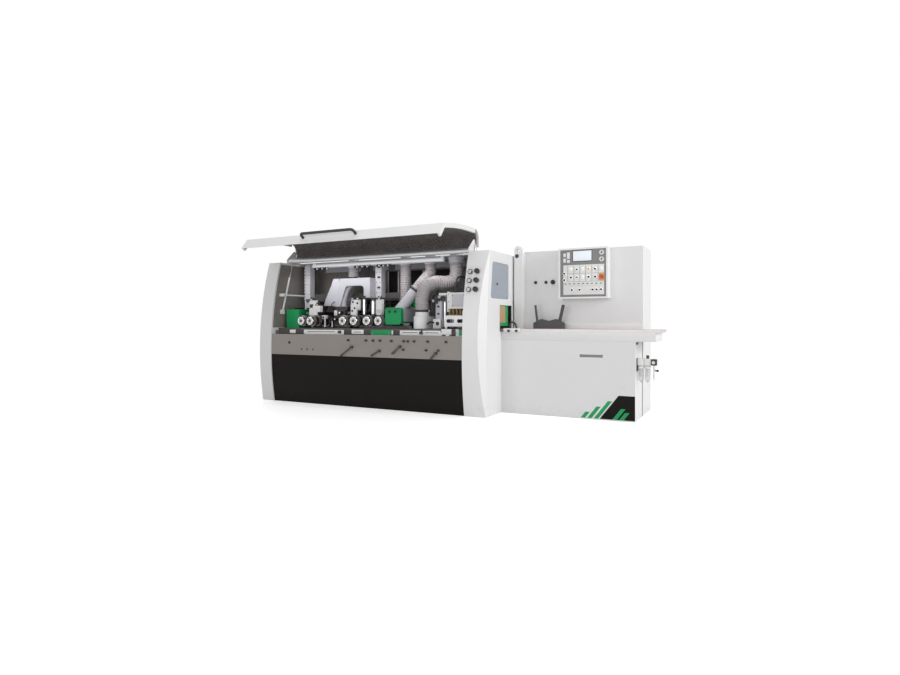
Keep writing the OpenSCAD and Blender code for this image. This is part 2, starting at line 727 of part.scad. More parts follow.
// Plan of the white hood, with a round front
white_round_y = white_front + white_half;
module white_plan(r, back) {
    disc([spindle_x[2], white_round_y], r);
    translate([spindle_x[2] - r, white_round_y]) square([2 * r, back - white_round_y]);
}
arm_duct_spin = 100;
module arm_duct(r, lap) {
    pipe(arm_duct_end - arm_duct_r * unit(arm_duct_top - arm_duct_end),
        arm_duct_top + lap * unit(arm_duct_top - arm_duct_end), r, arm_duct_spin);
}
module grey_ducts() {
    color("lavender") {
        difference() {
            span([spindle_x[4] - dark_half, dark_front, high_axis - cutter_r + over],
                [spindle_x[4] + dark_half, dark_back, dark_top]);
            span([spindle_x[4] - dark_half + duct_t, arch_y[0] + 2 * duct_t, dark_top - 2 * duct_t],
                [arch_left + arch_w - duct_t, arch_y[1] - duct_t, dark_top + over]);
            span([spindle_x[4] - dark_half + duct_t, dark_front + duct_t, bed_z],
                [spindle_x[4] + dark_half - duct_t, dark_back + over, dark_top - duct_t]);
        }
        span([spindle_x[4] - tab_half, dark_back - 4 * tab_t, dark_top - duct_t],
            [spindle_x[4] + tab_half, dark_back - 3 * tab_t, beam_z]);
        difference() {
            along_y(arch_y[0], arch_y[1]) arch_2d(0, 0);
            along_y(arch_y[0] + duct_t, arch_y[1] - duct_t) arch_2d(duct_t, over);
            rod_z([hose_x[3], dust_y, arch_top - 2 * duct_t], 2 * duct_t + over, small_bore);
        }
        difference() {
            arm_duct(arm_duct_r, 0);
            arm_duct(arm_duct_r - duct_t, over);
            span([spindle_x[3] - 2 * green_half, 2 * green_front, green_low], [hose_x[1], green_back,
                green_top]);
        }
        difference() {
            along_z(bed_z, white_top) white_plan(white_half, white_back);
            along_z(bed_z - over, white_top - white_wall) white_plan(white_half - white_wall,
                white_back + over);
            rod_z([spindle_x[2], white_collar_y, bed_z], white_h + over, white_bore);
        }
        difference() {
            rod_z([spindle_x[2], white_collar_y, white_top], white_collar_h, main_hose_r - hose_rib_h / 2);
            rod_z([spindle_x[2], white_collar_y, white_top - over], white_collar_h + 2 * over, white_bore);
        }
    }
}

// Ribbed hoses: a smooth line through hand-placed points, with two rings of points for each rib
hose_sides = 10;
hose_wall = 4;
rib_pitch = 26;
hose_top = roof_z - spigot_low;
function on_line(pts, s) =
    let (n = len(pts) - 1, i = min(floor(s * n), n - 1), u = s * n - i,
        a = pts[max(i - 1, 0)], b = pts[i], c = pts[i + 1], d = pts[min(i + 2, n)])
    b + ((c - a) * u + (2 * a - 5 * b + 4 * c - d) * u * u + (3 * b - a - 3 * c + d) * u * u * u) / 2;
function heading(pts, s) = let (e = 0.002, n = len(pts) - 1)
    unit(s == 0 ? pts[1] - pts[0] : s == 1 ? pts[n] - pts[n - 1] : on_line(pts, min(s + e,
        1)) - on_line(pts, max(s - e, 0)));
function ring(p, t, r) = let (m = unit(cross([0, 1, 0], t)), n = cross(t, m))
    [for (k = [0 : hose_sides - 1]) p + r * (cos(360 * k / hose_sides) * m + sin(360 * k / hose_sides) * n)];
function wall_faces(first, rings, flip) = [for (i = [0 : rings - 2], k = [0 : hose_sides - 1])
    let (a = first + i * hose_sides + k, b = first + i * hose_sides + (k + 1) % hose_sides,
        c = a + hose_sides, d = b + hose_sides)
    each (flip ? [[a, b, d], [a, d, c]] : [[a, d, b], [a, c, d]])];
function end_faces(outer, inner, flip) = [for (k = [0 : hose_sides - 1])
    let (a = outer + k, b = outer + (k + 1) % hose_sides, c = inner + k, d = inner + (k + 1) % hose_sides)
    each (flip ? [[a, d, b], [a, c, d]] : [[a, b, d], [a, d, c]])];
module ribbed_hose(pts, crest) {
    legs = [for (i = [0 : len(pts) - 2]) norm(pts[i + 1] - pts[i])];
    ribs = round(legs * [for (l = legs) 1] / rib_pitch);
    rings = 2 * ribs + 1;
    inner_rings = ribs + 1;
    outer = [for (i = [0 : rings - 1]) let (s = i / (rings - 1))
        each ring(on_line(pts, s), heading(pts, s), crest - (i % 2 == 0 ? hose_rib_h : 0))];
    inner = [for (i = [0 : inner_rings - 1]) let (s = i / (inner_rings - 1))
        each ring(on_line(pts, s), heading(pts, s), crest - hose_rib_h - hose_wall)];
    first = len(outer);
    polyhedron(points = concat(outer, inner), faces = concat(
        wall_faces(0, rings, true), wall_faces(first, inner_rings, false),
        end_faces(0, first, true), end_faces((rings - 1) * hose_sides,
            first + (inner_rings - 1) * hose_sides, false)));
}
function between(a, b, shares) = [for (q = shares) [for (k = [0 : 2]) a[k] + q[k] * (b[k] - a[k])]];
function spigot_end(i) = [hose_x[i], dust_y, hose_top];
arm_lift = unit(arm_duct_top - arm_duct_end);
elbow_foot = arm_duct_top + 2 * small_hose_r * arm_lift;
elbow_neck = spigot_end(1) - [0, 0, 2 * small_hose_r];
elbow_shares = [[0.52, 0.38, 0.42]];
elbow_hose = concat([arm_duct_top, (arm_duct_top + elbow_foot) / 2, elbow_foot],
    between(elbow_foot, elbow_neck, elbow_shares), [elbow_neck, (elbow_neck + spigot_end(1)) / 2,
        spigot_end(1)]);
collar_top = [spindle_x[2], white_collar_y, white_top + white_collar_h];
main_foot = collar_top + [0, 0, 2 * main_hose_r];
main_neck = spigot_end(2) - [0, 0, 2 * main_hose_r];
main_shares = [[0.1, 0.12, 0.42], [0.38, 0.38, 0.62], [0.68, 0.68, 0.62], [0.92, 0.92, 0.72]];
main_hose = concat([collar_top, (collar_top + main_foot) / 2, main_foot],
    between(main_foot, main_neck, main_shares), [main_neck, (main_neck + spigot_end(2)) / 2,
        spigot_end(2)]);
module dust_hoses() {
    color("rosybrown") {
        ribbed_hose([[hose_x[0], dust_y, green_top], [hose_x[0], dust_y, hose_top]], small_hose_r);
        ribbed_hose(elbow_hose, small_hose_r);
        ribbed_hose(main_hose, main_hose_r);
        ribbed_hose([[hose_x[3], dust_y, arch_top], [hose_x[3], dust_y, hose_top]], small_hose_r);
    }
}

// Hood: its outline is drawn closed, in Y and Z from the lip up, and turned open about the hinge
function turned(p, a) = [p[0] * cos(a) - p[1] * sin(a), p[0] * sin(a) + p[1] * cos(a)];
function opened(p) = hinge + turned(p - hinge, -hood_swing);
module open_2d() { translate(hinge) rotate(-hood_swing) translate(-hinge) children(); }
lip_up = 110;
lip_in = 81;
lip_drop = 106;
shoulder_up = 10;
crest_rise = 70;
crest_run = 105;
hood_end = [-41, 28];
hood_side_gap = 6;
hood_end_t = 25;
arc_steps = 10;
bend_steps = 5;
lip_z = bed_z + lip_up;
shoulder_z = body_top + shoulder_up;
lip_corner = [front_y(lip_z), lip_z];
lip_end = lip_corner + [lip_in, -lip_drop];
shoulder = [front_y(shoulder_z), shoulder_z];
crest_pull = shoulder + crest_rise * [sin(front_tilt(shoulder_z)), cos(front_tilt(shoulder_z))];
crest = [shoulder[0] + crest_run, crest_pull[1]];
hood_arc = [for (i = [0 : arc_steps]) let (z = lip_z + (shoulder_z - lip_z) * i / arc_steps) [front_y(z),
    z]];
hood_bend = [for (i = [1 : bend_steps]) let (u = i / bend_steps)
    (1 - u) * (1 - u) * shoulder + 2 * u * (1 - u) * crest_pull + u * u * crest];
hood_line = concat([lip_end], hood_arc, hood_bend, [hinge + hood_end]);
hood_rim = concat([lip_end], hood_arc);
hood_x0 = x_l + hood_side_gap;
hood_x1 = x_r - hood_side_gap;
module hood_shell() {
    color("white") {
        along_x(hood_x0, hood_x1) open_2d() polygon(strip(hood_line, 0, hood_t));
        for (x = [hood_x0, hood_x1 - hood_end_t]) along_x(x,
            x + hood_end_t) open_2d() polygon(strip(hood_rim, 0, hood_rib));
    }
}
module hood_liner() {
    color("black") along_x(hood_x0 + hood_end_t, hood_x1 - hood_end_t) open_2d()
        polygon(concat([for (i = [2 : arc_steps + 1]) moved(hood_line, hood_t)[i]],
            [for (i = [arc_steps + 1 : -1 : 2]) moved(hood_line, hood_t + liner_t)[i]]));
}
handle_shares = [-0.1487, 0.0832];
handle_stand = 65;
handle_up_share = 0.62;
handle_foot = lip_end + handle_up_share * (lip_corner - lip_end);
handle_grip = handle_foot - handle_stand * side(lip_end, lip_corner);
handle_bend = 34;
handle_out = opened(handle_grip) - opened(handle_foot);
handle_x0 = handle_shares[0] * body_len;
handle_x1 = handle_shares[1] * body_len;
module handle_half() {
    cylinder(r = handle_r, h = handle_stand - handle_bend);
    translate([handle_bend, 0, handle_stand - handle_bend]) rotate([90, 0, 0]) mirror([1, 0, 0])
        rotate_extrude(angle = 90) translate([handle_bend, 0]) circle(r = handle_r);
    rod_x([handle_bend, 0, handle_stand], (handle_x1 - handle_x0) / 2 - handle_bend, handle_r);
}
module hood_handle() {
    color("black") translate([(handle_x0 + handle_x1) / 2, opened(handle_foot)[0], opened(handle_foot)[1]])
        rotate([atan2(-handle_out[0], handle_out[1]), 0, 0]) {
            translate([(handle_x0 - handle_x1) / 2, 0, 0]) handle_half();
            mirror([1, 0, 0]) translate([(handle_x0 - handle_x1) / 2, 0, 0]) handle_half();
        }
}
tube_reach = [-144, -2];
tube_at = hinge + tube_reach;
arm_r = 32;
finger_r = 20;
finger_reach = [-95, 40];
finger_at = hinge + finger_reach;
strut_arm = 65;
strut_arm_angle = 122;
strut_top = hinge + strut_arm * [cos(strut_arm_angle), sin(strut_arm_angle)];
strut_foot_y = -280;
strut_foot_z_share = 0.64;
strut_foot = [strut_foot_y, strut_foot_z_share * body_top];
strut_in = 17;
strut_eye_r = 14;
strut_eye_t = 12;
strut_r = 12;
strut_len = 450;
strut_rod_r = 7;
strut_bore = 140;
strut_rod_in = 40;
strut_span = norm(strut_top - strut_foot);
strut_angle = atan2((strut_top - strut_foot)[1], (strut_top - strut_foot)[0]);
function strut_x(end) = end < 0 ? x_l + strut_in : x_r - strut_in;
boss_r = 10;
boss_t = arm_inset - strut_in - strut_rod_r - gap;
module hinge_tube() {
    color("silver") {
        for (end = [-1, 1]) {
            along_x(arm_x(end), arm_x(end) + hinge_arm_t) difference() {
                union() {
                    bar_2d(hinge, tube_at, arm_r);
                    bar_2d(hinge, opened(finger_at), finger_r);
                    bar_2d(hinge, strut_top, strut_eye_r);
                }
                disc(hinge, hinge_pin_r + fit);
                open_2d() polygon(strip(hood_line, -hood_rib - finger_r, hood_t));
            }
            rod_x([end < 0 ? arm_x(end) - boss_t : arm_x(end) + hinge_arm_t, strut_top[0], strut_top[1]],
                boss_t, boss_r);
        }
        rod_x([arm_x(-1) + hinge_arm_t, tube_at[0], tube_at[1]], arm_x(1) - arm_x(-1) - hinge_arm_t,
            hinge_tube_r);
    }
}
module along_strut(end) {
    translate([strut_x(end), strut_foot[0], strut_foot[1]]) rotate([strut_angle - 90, 0, 0]) children();
}
clamp = 26;
module strut_cylinders() {
    color("gainsboro") for (end = [-1, 1]) difference() {
        union() {
            along_strut(end) cylinder(r = strut_r, h = strut_len);
            span([end < 0 ? x_l : strut_x(end) - strut_r, strut_foot[0] - clamp, strut_foot[1] - clamp],
                [end < 0 ? strut_x(end) + strut_r : x_r, strut_foot[0] + clamp, strut_foot[1] + clamp]);
        }
        along_strut(end) translate([0, 0, strut_len - strut_bore]) cylinder(r = strut_rod_r + fit,
            h = strut_bore + over);
    }
}
module strut_rod(end) {
    color("silver") {
        along_strut(end) translate([0, 0, strut_len - strut_rod_in])
            cylinder(r = strut_rod_r, h = strut_span - strut_len + strut_rod_in - strut_rod_r);
        along_x(strut_x(end) - strut_eye_t / 2, strut_x(end) + strut_eye_t / 2) difference() {
            disc(strut_top, strut_eye_r);
            disc(strut_top, strut_rod_r);
        }
    }
}
module strut_rod_left() { strut_rod(-1); }
module strut_rod_right() { strut_rod(1); }

// Adjuster ends and clamp levers on the grey panel
module on_front(x, z, inset) { translate([x, front_y(z, inset), z]) rotate([-front_tilt(z), 0,
    0]) children(); }
function panel_at(share) = lower_panel_h + share * upper_panel_h;
adjuster_shares = [[-0.055, 0.755], [0.0255, 0.755], [0.0567, 0.755], [0.0872, 0.755], [0.1366, 0.755],
    [0.1886, 0.755],
    [0.2057, 0.755], [0.2312, 0.755], [0.2862, 0.755], [0.3581, 0.755], [0.1869, 0.382], [0.2802, 0.382],
        [0.3282, 0.382]];
adjuster_r = 13;
adjuster_t = 12;
adjuster_end_r = 7;
adjuster_end = 22;
module panel_adjusters() {
    color("dimgray") for (s = adjuster_shares) on_front(s[0] * body_len, panel_at(s[1]), panel_recess) {
        rod_y([0, -adjuster_t, 0], adjuster_t, adjuster_r);
        rod_y([0, -adjuster_t - adjuster_end, 0], adjuster_end, adjuster_end_r);
    }
}
lever_shares = [[-0.0372, 0.448], [0.0852, 0.303], [0.1735, 0.51], [0.3198, 0.27]];
lever_len = [168, 107, 113, 74];
lever_turn = [215, 209, 220, 225];
lever_hub_r = 14;
lever_hub = 34;
lever_r = 7;
lever_knob_r = 11;
lever_grip = 45;
module clamp_lever(i) {
    color("black") on_front(lever_shares[i][0] * body_len, panel_at(lever_shares[i][1]), panel_recess) {
        rod_y([0, -lever_hub, 0], lever_hub - gap, lever_hub_r);
        rotate([0, -lever_turn[i], 0]) {
            translate([0, -lever_hub + lever_knob_r, 0]) rotate([0, 90, 0]) rotate_extrude() polygon([[0,
                0], [lever_r, 0],
                [lever_r, lever_len[i] - lever_grip], [lever_knob_r, lever_len[i]],
                [lever_r, lever_len[i] + lever_knob_r], [0, lever_len[i] + lever_knob_r]]);
        }
    }
}
module clamp_lever_1() { clamp_lever(0); }
module clamp_lever_2() { clamp_lever(1); }
module clamp_lever_3() { clamp_lever(2); }
module clamp_lever_4() { clamp_lever(3); }

// Gauges and regulator knobs on the tower
regulator_z_shares = [0.869, 0.8143, 0.7601];
gauge_in = 52;
knob_in = 132;
gauge_r = 21;
gauge_t = 24;
knob_r = 22;
knob_t = 34;
knob_neck_r = 13;
knob_neck = 10;
module regulator_knob(i) {
    color("black") on_front(x_r + knob_in, regulator_z_shares[i] * body_top, 0) {
        rod_y([0, -knob_neck - gap, 0], knob_neck, knob_neck_r);
        rod_y([0, -knob_neck - knob_t, 0], knob_t, knob_r);
    }
}
module regulator_knob_1() { regulator_knob(0); }
module regulator_knob_2() { regulator_knob(1); }
module regulator_knob_3() { regulator_knob(2); }

// Infeed base, table, guard and lift column
base_top = plate_z - table_beam_h;
base_end = x_end_r + base_len;
pillar_d = 185;
pillar_in = 110;
beam_short = 41;
table_wall = 20;
strip_t = 10;
strip_h = 60;
module base_plan(i) {
    polygon([[x_end_r + i, i], [base_end - i, i], [base_end - i, pillar_d - i],
        [base_end - pillar_in - i, pillar_d - i],
        [base_end - pillar_in - i, table_d - i], [x_end_r + i, table_d - i]]);
}
module infeed_base() {
    color("gainsboro") difference() {
        along_z(0, base_top) base_plan(0);
        along_z(-over, base_top - sheet_t) base_plan(sheet_t);
    }
}
module infeed_table() {
    color("lightgray") {
        difference() {
            span([x_end_r, 0, base_top], [x_end_r + table_len - beam_short, table_d, plate_z]);
            span([x_end_r + table_wall, table_wall, base_top - over],
                [x_end_r + table_len - beam_short - table_wall, table_d - table_wall, plate_z]);
        }
        span([x_end_r, 0, plate_z], [x_end_r + table_len, table_d, bed_z]);
        span([x_r, 0, plate_z], [x_end_r + over, mouth_back - over, bed_z]);
        span([column_x + column_w, table_d - strip_t, bed_z - over], [base_end, table_d, bed_z + strip_h]);
    }
}
guard_t = 12;
guard_depth = 250;
guard_low = 30;
module infeed_guard() {
    color("seagreen") span([x_end_r - shell_t - guard_t, mouth_front - guard_lap, bed_z + guard_low],
        [x_end_r - shell_t, mouth_front + guard_depth, bed_z + mouth_h + guard_lap]);
}
column_in = 20;
column_x = x_end_r + column_in;
column_w = 90;
column_d = 114;
column_top_share = 0.985;
lug_t = 40;
lug_hole_r = 16;
lug_rise = 38;
module lift_column() {
    color("whitesmoke") {
        difference() {
            span([column_x, table_d - column_d, bed_z], [column_x + column_w, table_d, column_top_share * cabinet_h]);
            span([column_x + shell_t, table_d - column_d + shell_t, bed_z - over],
                [column_x + column_w - shell_t, table_d - shell_t, column_top_share * cabinet_h - 2 * lug_rise]);
        }
        along_y(table_d - column_d, table_d - column_d + lug_t) difference() {
            translate([column_x, column_top_share * cabinet_h - lug_rise])
                union() {
                    square([column_w, 2 * lug_rise]);
                    disc([column_w / 2, 2 * lug_rise], column_w / 2);
                }
            disc([column_x + column_w / 2, column_top_share * cabinet_h + lug_rise], lug_hole_r);
        }
    }
}

// Electrical cabinet, its rear door, the control box and its controls
cabinet_lap = 13;
cabinet_x = column_x + column_w - cabinet_lap;
cabinet_back = table_d + cabinet_d;
door_frame = 24;
door_lap = 12;
door_t = 6;
door_x0 = cabinet_x + door_lap;
door_x1 = base_end - door_lap;
door_z0 = 100;
door_z1 = cabinet_h - door_lap;
knuckle_r = 8;
knuckle_h = 70;
door_pin_r = 4;
door_axis = [door_x1 + knuckle_r / 2, cabinet_back + gap + door_t + knuckle_r / 2];
knuckle_shares = [0.18, 0.82];
function knuckle_z(s) = door_z0 + s * (door_z1 - door_z0);
module electrical_cabinet() {
    color("gainsboro") {
        difference() {
            span([cabinet_x, table_d, 0], [base_end, cabinet_back, cabinet_h]);
            span([cabinet_x + sheet_t, table_d + sheet_t, sheet_t], [base_end - sheet_t,
                cabinet_back - sheet_t, cabinet_h - sheet_t]);
            span([cabinet_x + door_frame, table_d + sheet_t, door_z0 + door_frame],
                [base_end - door_frame, cabinet_back + over, cabinet_h - door_frame]);
        }
        for (s = knuckle_shares) {
            rod_z([door_axis[0], door_axis[1], knuckle_z(s) - knuckle_r], knuckle_h + knuckle_r,
                door_pin_r);
            span([door_axis[0] - door_pin_r, cabinet_back, knuckle_z(s) - knuckle_r],
                [door_axis[0] + door_pin_r, door_axis[1] + door_pin_r, knuckle_z(s) - gap]);
        }
    }
}
latch_w = 30;
latch_h = 120;
latch_t = 22;
latch_in = 60;
module cabinet_door() {
    color("gainsboro") {
        difference() {
            union() {
                span([door_x0, cabinet_back + gap, door_z0], [door_x1, cabinet_back + gap + door_t,
                    door_z1]);
                for (s = knuckle_shares) rod_z([door_axis[0], door_axis[1], knuckle_z(s)], knuckle_h,
                    knuckle_r);
            }
            for (s = knuckle_shares) rod_z([door_axis[0], door_axis[1], knuckle_z(s) - over],
                knuckle_h + 2 * over, door_pin_r + fit);
            for (s = knuckle_shares) span([door_axis[0] - knuckle_r - gap, cabinet_back,
                knuckle_z(s) - knuckle_r - gap],
                [door_axis[0] + knuckle_r, cabinet_back + gap + 2 * door_t, knuckle_z(s)]);
        }
        span([door_x0 + latch_in, cabinet_back + gap + door_t, (door_z0 + door_z1 - latch_h) / 2],
            [door_x0 + latch_in + latch_w, cabinet_back + gap + door_t + latch_t,
                (door_z0 + door_z1 + latch_h) / 2]);
    }
}
box_in = 426;
box_x = cabinet_x + box_in;
box_y = table_d - box_d;
box_z = cabinet_h - box_h;
box_rim = 16;
box_recess = 5;
screen_shares = [0.29, 0.69, 0.73, 0.95];
screen_t = 3;
face_y = box_y + box_recess;
function face_at(s) = [box_x + s[0] * box_w, face_y, box_z + s[1] * box_h];
module control_box() {
    color("white") difference() {
        span([box_x, box_y, box_z], [box_x + box_w, table_d, cabinet_h]);
        span([box_x + box_rim, box_y - over, box_z + box_rim],
            [box_x + box_w - box_rim, face_y, cabinet_h - box_rim]);
        span([box_x + sheet_t, face_y + sheet_t, box_z + sheet_t],
            [box_x + box_w - sheet_t, table_d + over, cabinet_h - sheet_t]);
    }
}
key_r = 11;
key_t = 14;
dial_r = 22;
dial_t = 10;
row_x_shares = [0.26, 0.38, 0.50, 0.62, 0.75];
low_x_shares = [0.28, 0.44, 0.70, 0.78, 0.87];
key_shares = concat([for (x = row_x_shares) [x, 0.575]], [for (x = row_x_shares) [x, 0.42]],
    [for (x = low_x_shares) [x, 0.17]],
    [[0.12, 0.50], [0.12, 0.37], [0.88, 0.575]]);
dial_shares = [[0.88, 0.89], [0.88, 0.76]];
stop_share = [0.88, 0.42];
stop_r = 20;
stop_cap = 14;
stop_collar_r = 15;
stop_collar = 14;
stop_stem_r = 8;
stop_stem = 4;
stop_travel = 6;
cabinet_knob_in = [131, 249];
cabinet_knob_z_share = 0.8024;
cabinet_knob_r = 13;
cabinet_knob_t = 28;
module dials() {
    color("dimgray") {
        for (s = key_shares) rod_y(face_at(s) - [0, key_t, 0], key_t, key_r);
        for (s = dial_shares) rod_y(face_at(s) - [0, dial_t, 0], dial_t, dial_r);
        span(face_at([screen_shares[0], screen_shares[2]]) - [0, screen_t, 0], face_at([screen_shares[1],
            screen_shares[3]]));
        difference() {
            rod_y(face_at(stop_share) - [0, stop_collar, 0], stop_collar, stop_collar_r);
            rod_y(face_at(stop_share) - [0, stop_collar + over, 0], stop_collar + 2 * over,
                stop_stem_r + fit);
        }
        for (x = cabinet_knob_in) rod_y([cabinet_x + x, table_d - cabinet_knob_t,
            cabinet_knob_z_share * cabinet_h],
            cabinet_knob_t, cabinet_knob_r);
        for (s = regulator_z_shares) on_front(x_r + gauge_in, s * body_top, 0) rod_y([0, -gauge_t, 0],
            gauge_t, gauge_r);
    }
}
module e_stop() {
    color("red") {
        rod_y(face_at(stop_share) - [0, stop_collar + stop_travel + gap + stop_cap, 0], stop_cap, stop_r);
        rod_y(face_at(stop_share) - [0, stop_collar + stop_travel + gap, 0],
            stop_travel + gap + stop_stem, stop_stem_r);
    }
}
switch_in = 328;
switch_r = 24;
switch_t = 16;
switch_grip = 10;
module main_switch() {
    color("black") translate([cabinet_x + switch_in, table_d - gap, cabinet_knob_z_share * cabinet_h]) {
        rod_y([0, -switch_t, 0], switch_t, switch_r);
        span([-switch_grip / 2, -2 * switch_t, -switch_r], [switch_grip / 2, -switch_t, switch_r]);
    }
}

// Fence bracket on the infeed table, and the air service unit on the base's end
bracket_in = 148;
bracket_w = 330;
bracket_d = 70;
bracket_h = 62;
bracket_rise = 42;
bracket_back = 130;
bracket_y = table_d - bracket_back;
peak_shares = [0.25, 0.5, 0.75];
lever_out = 45;
stay_r = 12;
stay_h = 150;
grip_r = 17;
bracket_x = cabinet_x + bracket_in;
module fence_bracket() {
    color("dimgray") {
        along_y(bracket_y, bracket_y + bracket_d) polygon([[bracket_x, bed_z], [bracket_x + bracket_w,
            bed_z],
            [bracket_x + bracket_w, bed_z + bracket_h], [bracket_x + peak_shares[2] * bracket_w,
                bed_z + bracket_h + bracket_rise],
            [bracket_x + peak_shares[1] * bracket_w, bed_z + bracket_h + bracket_rise / 2],
            [bracket_x + peak_shares[0] * bracket_w, bed_z + bracket_h + bracket_rise], [bracket_x,
                bed_z + bracket_h]]);
        pipe([bracket_x + 3 * stay_r, bracket_y + bracket_d / 2, bed_z + bracket_h],
            [bracket_x + stay_r, bracket_y + bracket_d / 2, bed_z + bracket_h + bracket_rise + stay_h], stay_r);
        pipe([bracket_x + bracket_w - 3 * grip_r, bracket_y + bracket_d / 2, bed_z + bracket_h],
            [bracket_x + bracket_w - 3 * grip_r + lever_out, bracket_y + bracket_d / 2,
                bed_z + bracket_h + bracket_rise + stay_h], grip_r);
    }
}
// Air unit on the base's end: plate, body with two bowls, and a regulator with its gauge, stem and knobs
air_y = [70, 130];
air_z = 480;
air_h = 125;
air_plate = 8;
air_body = 175;
air_body_h = 70;
bowl_r = 28;
bowl_h = 160;
bowl_in = 31;
bowl_pitch = 60;
air_gauge_r = 20;
air_gauge_t = 22;
air_port_r = 7;
air_port_depth = 30;
air_stem_r = 11;
air_stem_h = 140;
air_stem_in = 25;
air_knob_r = 14;
air_knob_h = 30;
air_knob_out = 40;
air_knob_low = 80;
air_mid = (air_y[0] + air_y[1]) / 2;
air_body_x = base_end + air_plate;
air_body_z = air_z + air_h - air_body_h;
air_port_z = air_z + air_h - air_body_h / 2;
air_stem_x = air_body_x + air_body - air_stem_in;
function bowl_x(k) = air_body_x + bowl_in + k * bowl_pitch;
module air_unit() {
    color("whitesmoke") difference() {
        union() {
            span([base_end, air_y[0], air_z], [air_body_x, air_y[1], air_z + air_h]);
            span([air_body_x, air_y[0], air_body_z], [air_body_x + air_body, air_y[1], air_z + air_h]);
            for (k = [0, 1]) rod_z([bowl_x(k), air_mid, air_body_z - bowl_h], bowl_h, bowl_r);
            rod_z([bowl_x(1), air_mid, air_z + air_h], air_knob_h, air_knob_r);
            rod_z([air_stem_x, air_mid, air_body_z - air_stem_h], air_stem_h, air_stem_r);
            rod_x([air_stem_x, air_mid, air_port_z - air_knob_low], air_knob_out, air_stem_r);
            rod_y([air_stem_x, air_y[0] - air_gauge_t, air_port_z], air_gauge_t, air_gauge_r);
        }
        rod_y([air_stem_x, air_y[1] - air_port_depth, air_port_z], air_port_depth + over, air_port_r);
    }
}

machine_bed();
bed_plates();
left_column();
right_tower();
tower_window();
lower_panel();
upper_panel();
panel_adjusters();
clamp_lever_1();
clamp_lever_2();
clamp_lever_3();
clamp_lever_4();
rear_housing();
dust_spigots();
inner_wall();
work_lamp();
feed_beam();
press_cylinders();
roller_carrier_1();
roller_carrier_2();
roller_carrier_3();
feed_roller_1();
feed_roller_2();
feed_roller_3();
feed_roller_4();
feed_roller_5();
feed_roller_6();
spindle_units();
bottom_spindle_1();
fence_spindle();
front_spindle();
top_spindle_1();
top_spindle_2();
bottom_spindle_2();
grey_ducts();
green_hoods();
dust_hoses();
fence_guides();
hood_shell();
hood_liner();
hood_handle();
hinge_tube();
strut_cylinders();
strut_rod_left();
strut_rod_right();
regulator_knob_1();
regulator_knob_2();
regulator_knob_3();
infeed_base();
infeed_table();
infeed_guard();
lift_column();
electrical_cabinet();
cabinet_door();
control_box();
dials();
e_stop();
main_switch();
fence_bracket();
air_unit();
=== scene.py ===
import bpy, bmesh, json, math
from mathutils import Matrix, Vector
from mathutils.geometry import convex_hull_2d

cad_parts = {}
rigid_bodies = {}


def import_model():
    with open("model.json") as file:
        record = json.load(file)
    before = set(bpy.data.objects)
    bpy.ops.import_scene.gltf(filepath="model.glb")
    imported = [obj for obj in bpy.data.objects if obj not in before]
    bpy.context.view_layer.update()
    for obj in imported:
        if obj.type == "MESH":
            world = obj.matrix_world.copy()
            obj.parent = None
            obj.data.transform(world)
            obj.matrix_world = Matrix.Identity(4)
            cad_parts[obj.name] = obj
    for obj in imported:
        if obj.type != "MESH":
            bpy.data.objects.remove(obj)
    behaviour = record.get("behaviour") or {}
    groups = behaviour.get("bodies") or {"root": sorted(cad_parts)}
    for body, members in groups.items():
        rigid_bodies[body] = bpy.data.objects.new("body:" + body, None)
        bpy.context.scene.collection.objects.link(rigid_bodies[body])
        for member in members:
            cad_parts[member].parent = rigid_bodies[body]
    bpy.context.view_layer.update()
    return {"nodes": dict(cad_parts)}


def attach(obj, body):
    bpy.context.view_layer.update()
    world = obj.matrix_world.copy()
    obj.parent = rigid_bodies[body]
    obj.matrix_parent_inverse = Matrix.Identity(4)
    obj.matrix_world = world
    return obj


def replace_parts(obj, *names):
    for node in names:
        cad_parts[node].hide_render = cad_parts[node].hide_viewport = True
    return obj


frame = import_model()
nodes = frame["nodes"]
print("frame loaded:", len(nodes), "nodes")
mm, tau = 0.001, math.tau  # pieces are given in millimetres, the frame is in metres


def linked(name, data):
    thing = bpy.data.objects.new(name, data)
    bpy.context.scene.collection.objects.link(thing)
    return thing


# camera: standing in front of the infeed end, at bench height, in metres
viewpoint = {"place": (3.8587, -5.7468, 0.9638), "turn": 27.4, "lens": 23.512, "lower": -0.01844,
             "sensor": 36}
eye = linked("eye", bpy.data.cameras.new("eye"))
eye.location = viewpoint["place"]
eye.rotation_euler = (math.pi / 2, 0, math.radians(viewpoint["turn"]))
eye.data.sensor_width = viewpoint["sensor"]
eye.data.lens = viewpoint["lens"]
eye.data.shift_y = viewpoint["lower"]
bpy.context.scene.camera = eye
bpy.context.scene.view_settings.view_transform = "Standard"


# node sockets that can be added and multiplied like numbers
class Wire:
    def __init__(self, maker, socket):
        self.maker, self.socket = maker, socket

    def join(self, operation, other, flip=False):
        pair = (other, self) if flip else (self, other)
        return self.maker.add("ShaderNodeMath", {"operation": operation}, {0: pair[0], 1: pair[1]})

    def __add__(self, other): return self.join("ADD", other)
    def __radd__(self, other): return self.join("ADD", other, True)
    def __sub__(self, other): return self.join("SUBTRACT", other)
    def __rsub__(self, other): return self.join("SUBTRACT", other, True)
    def __mul__(self, other): return self.join("MULTIPLY", other)
    def __rmul__(self, other): return self.join("MULTIPLY", other, True)
    def __truediv__(self, other): return self.join("DIVIDE", other)
    def __rtruediv__(self, other): return self.join("DIVIDE", other, True)
    def __lt__(self, other): return self.join("LESS_THAN", other)


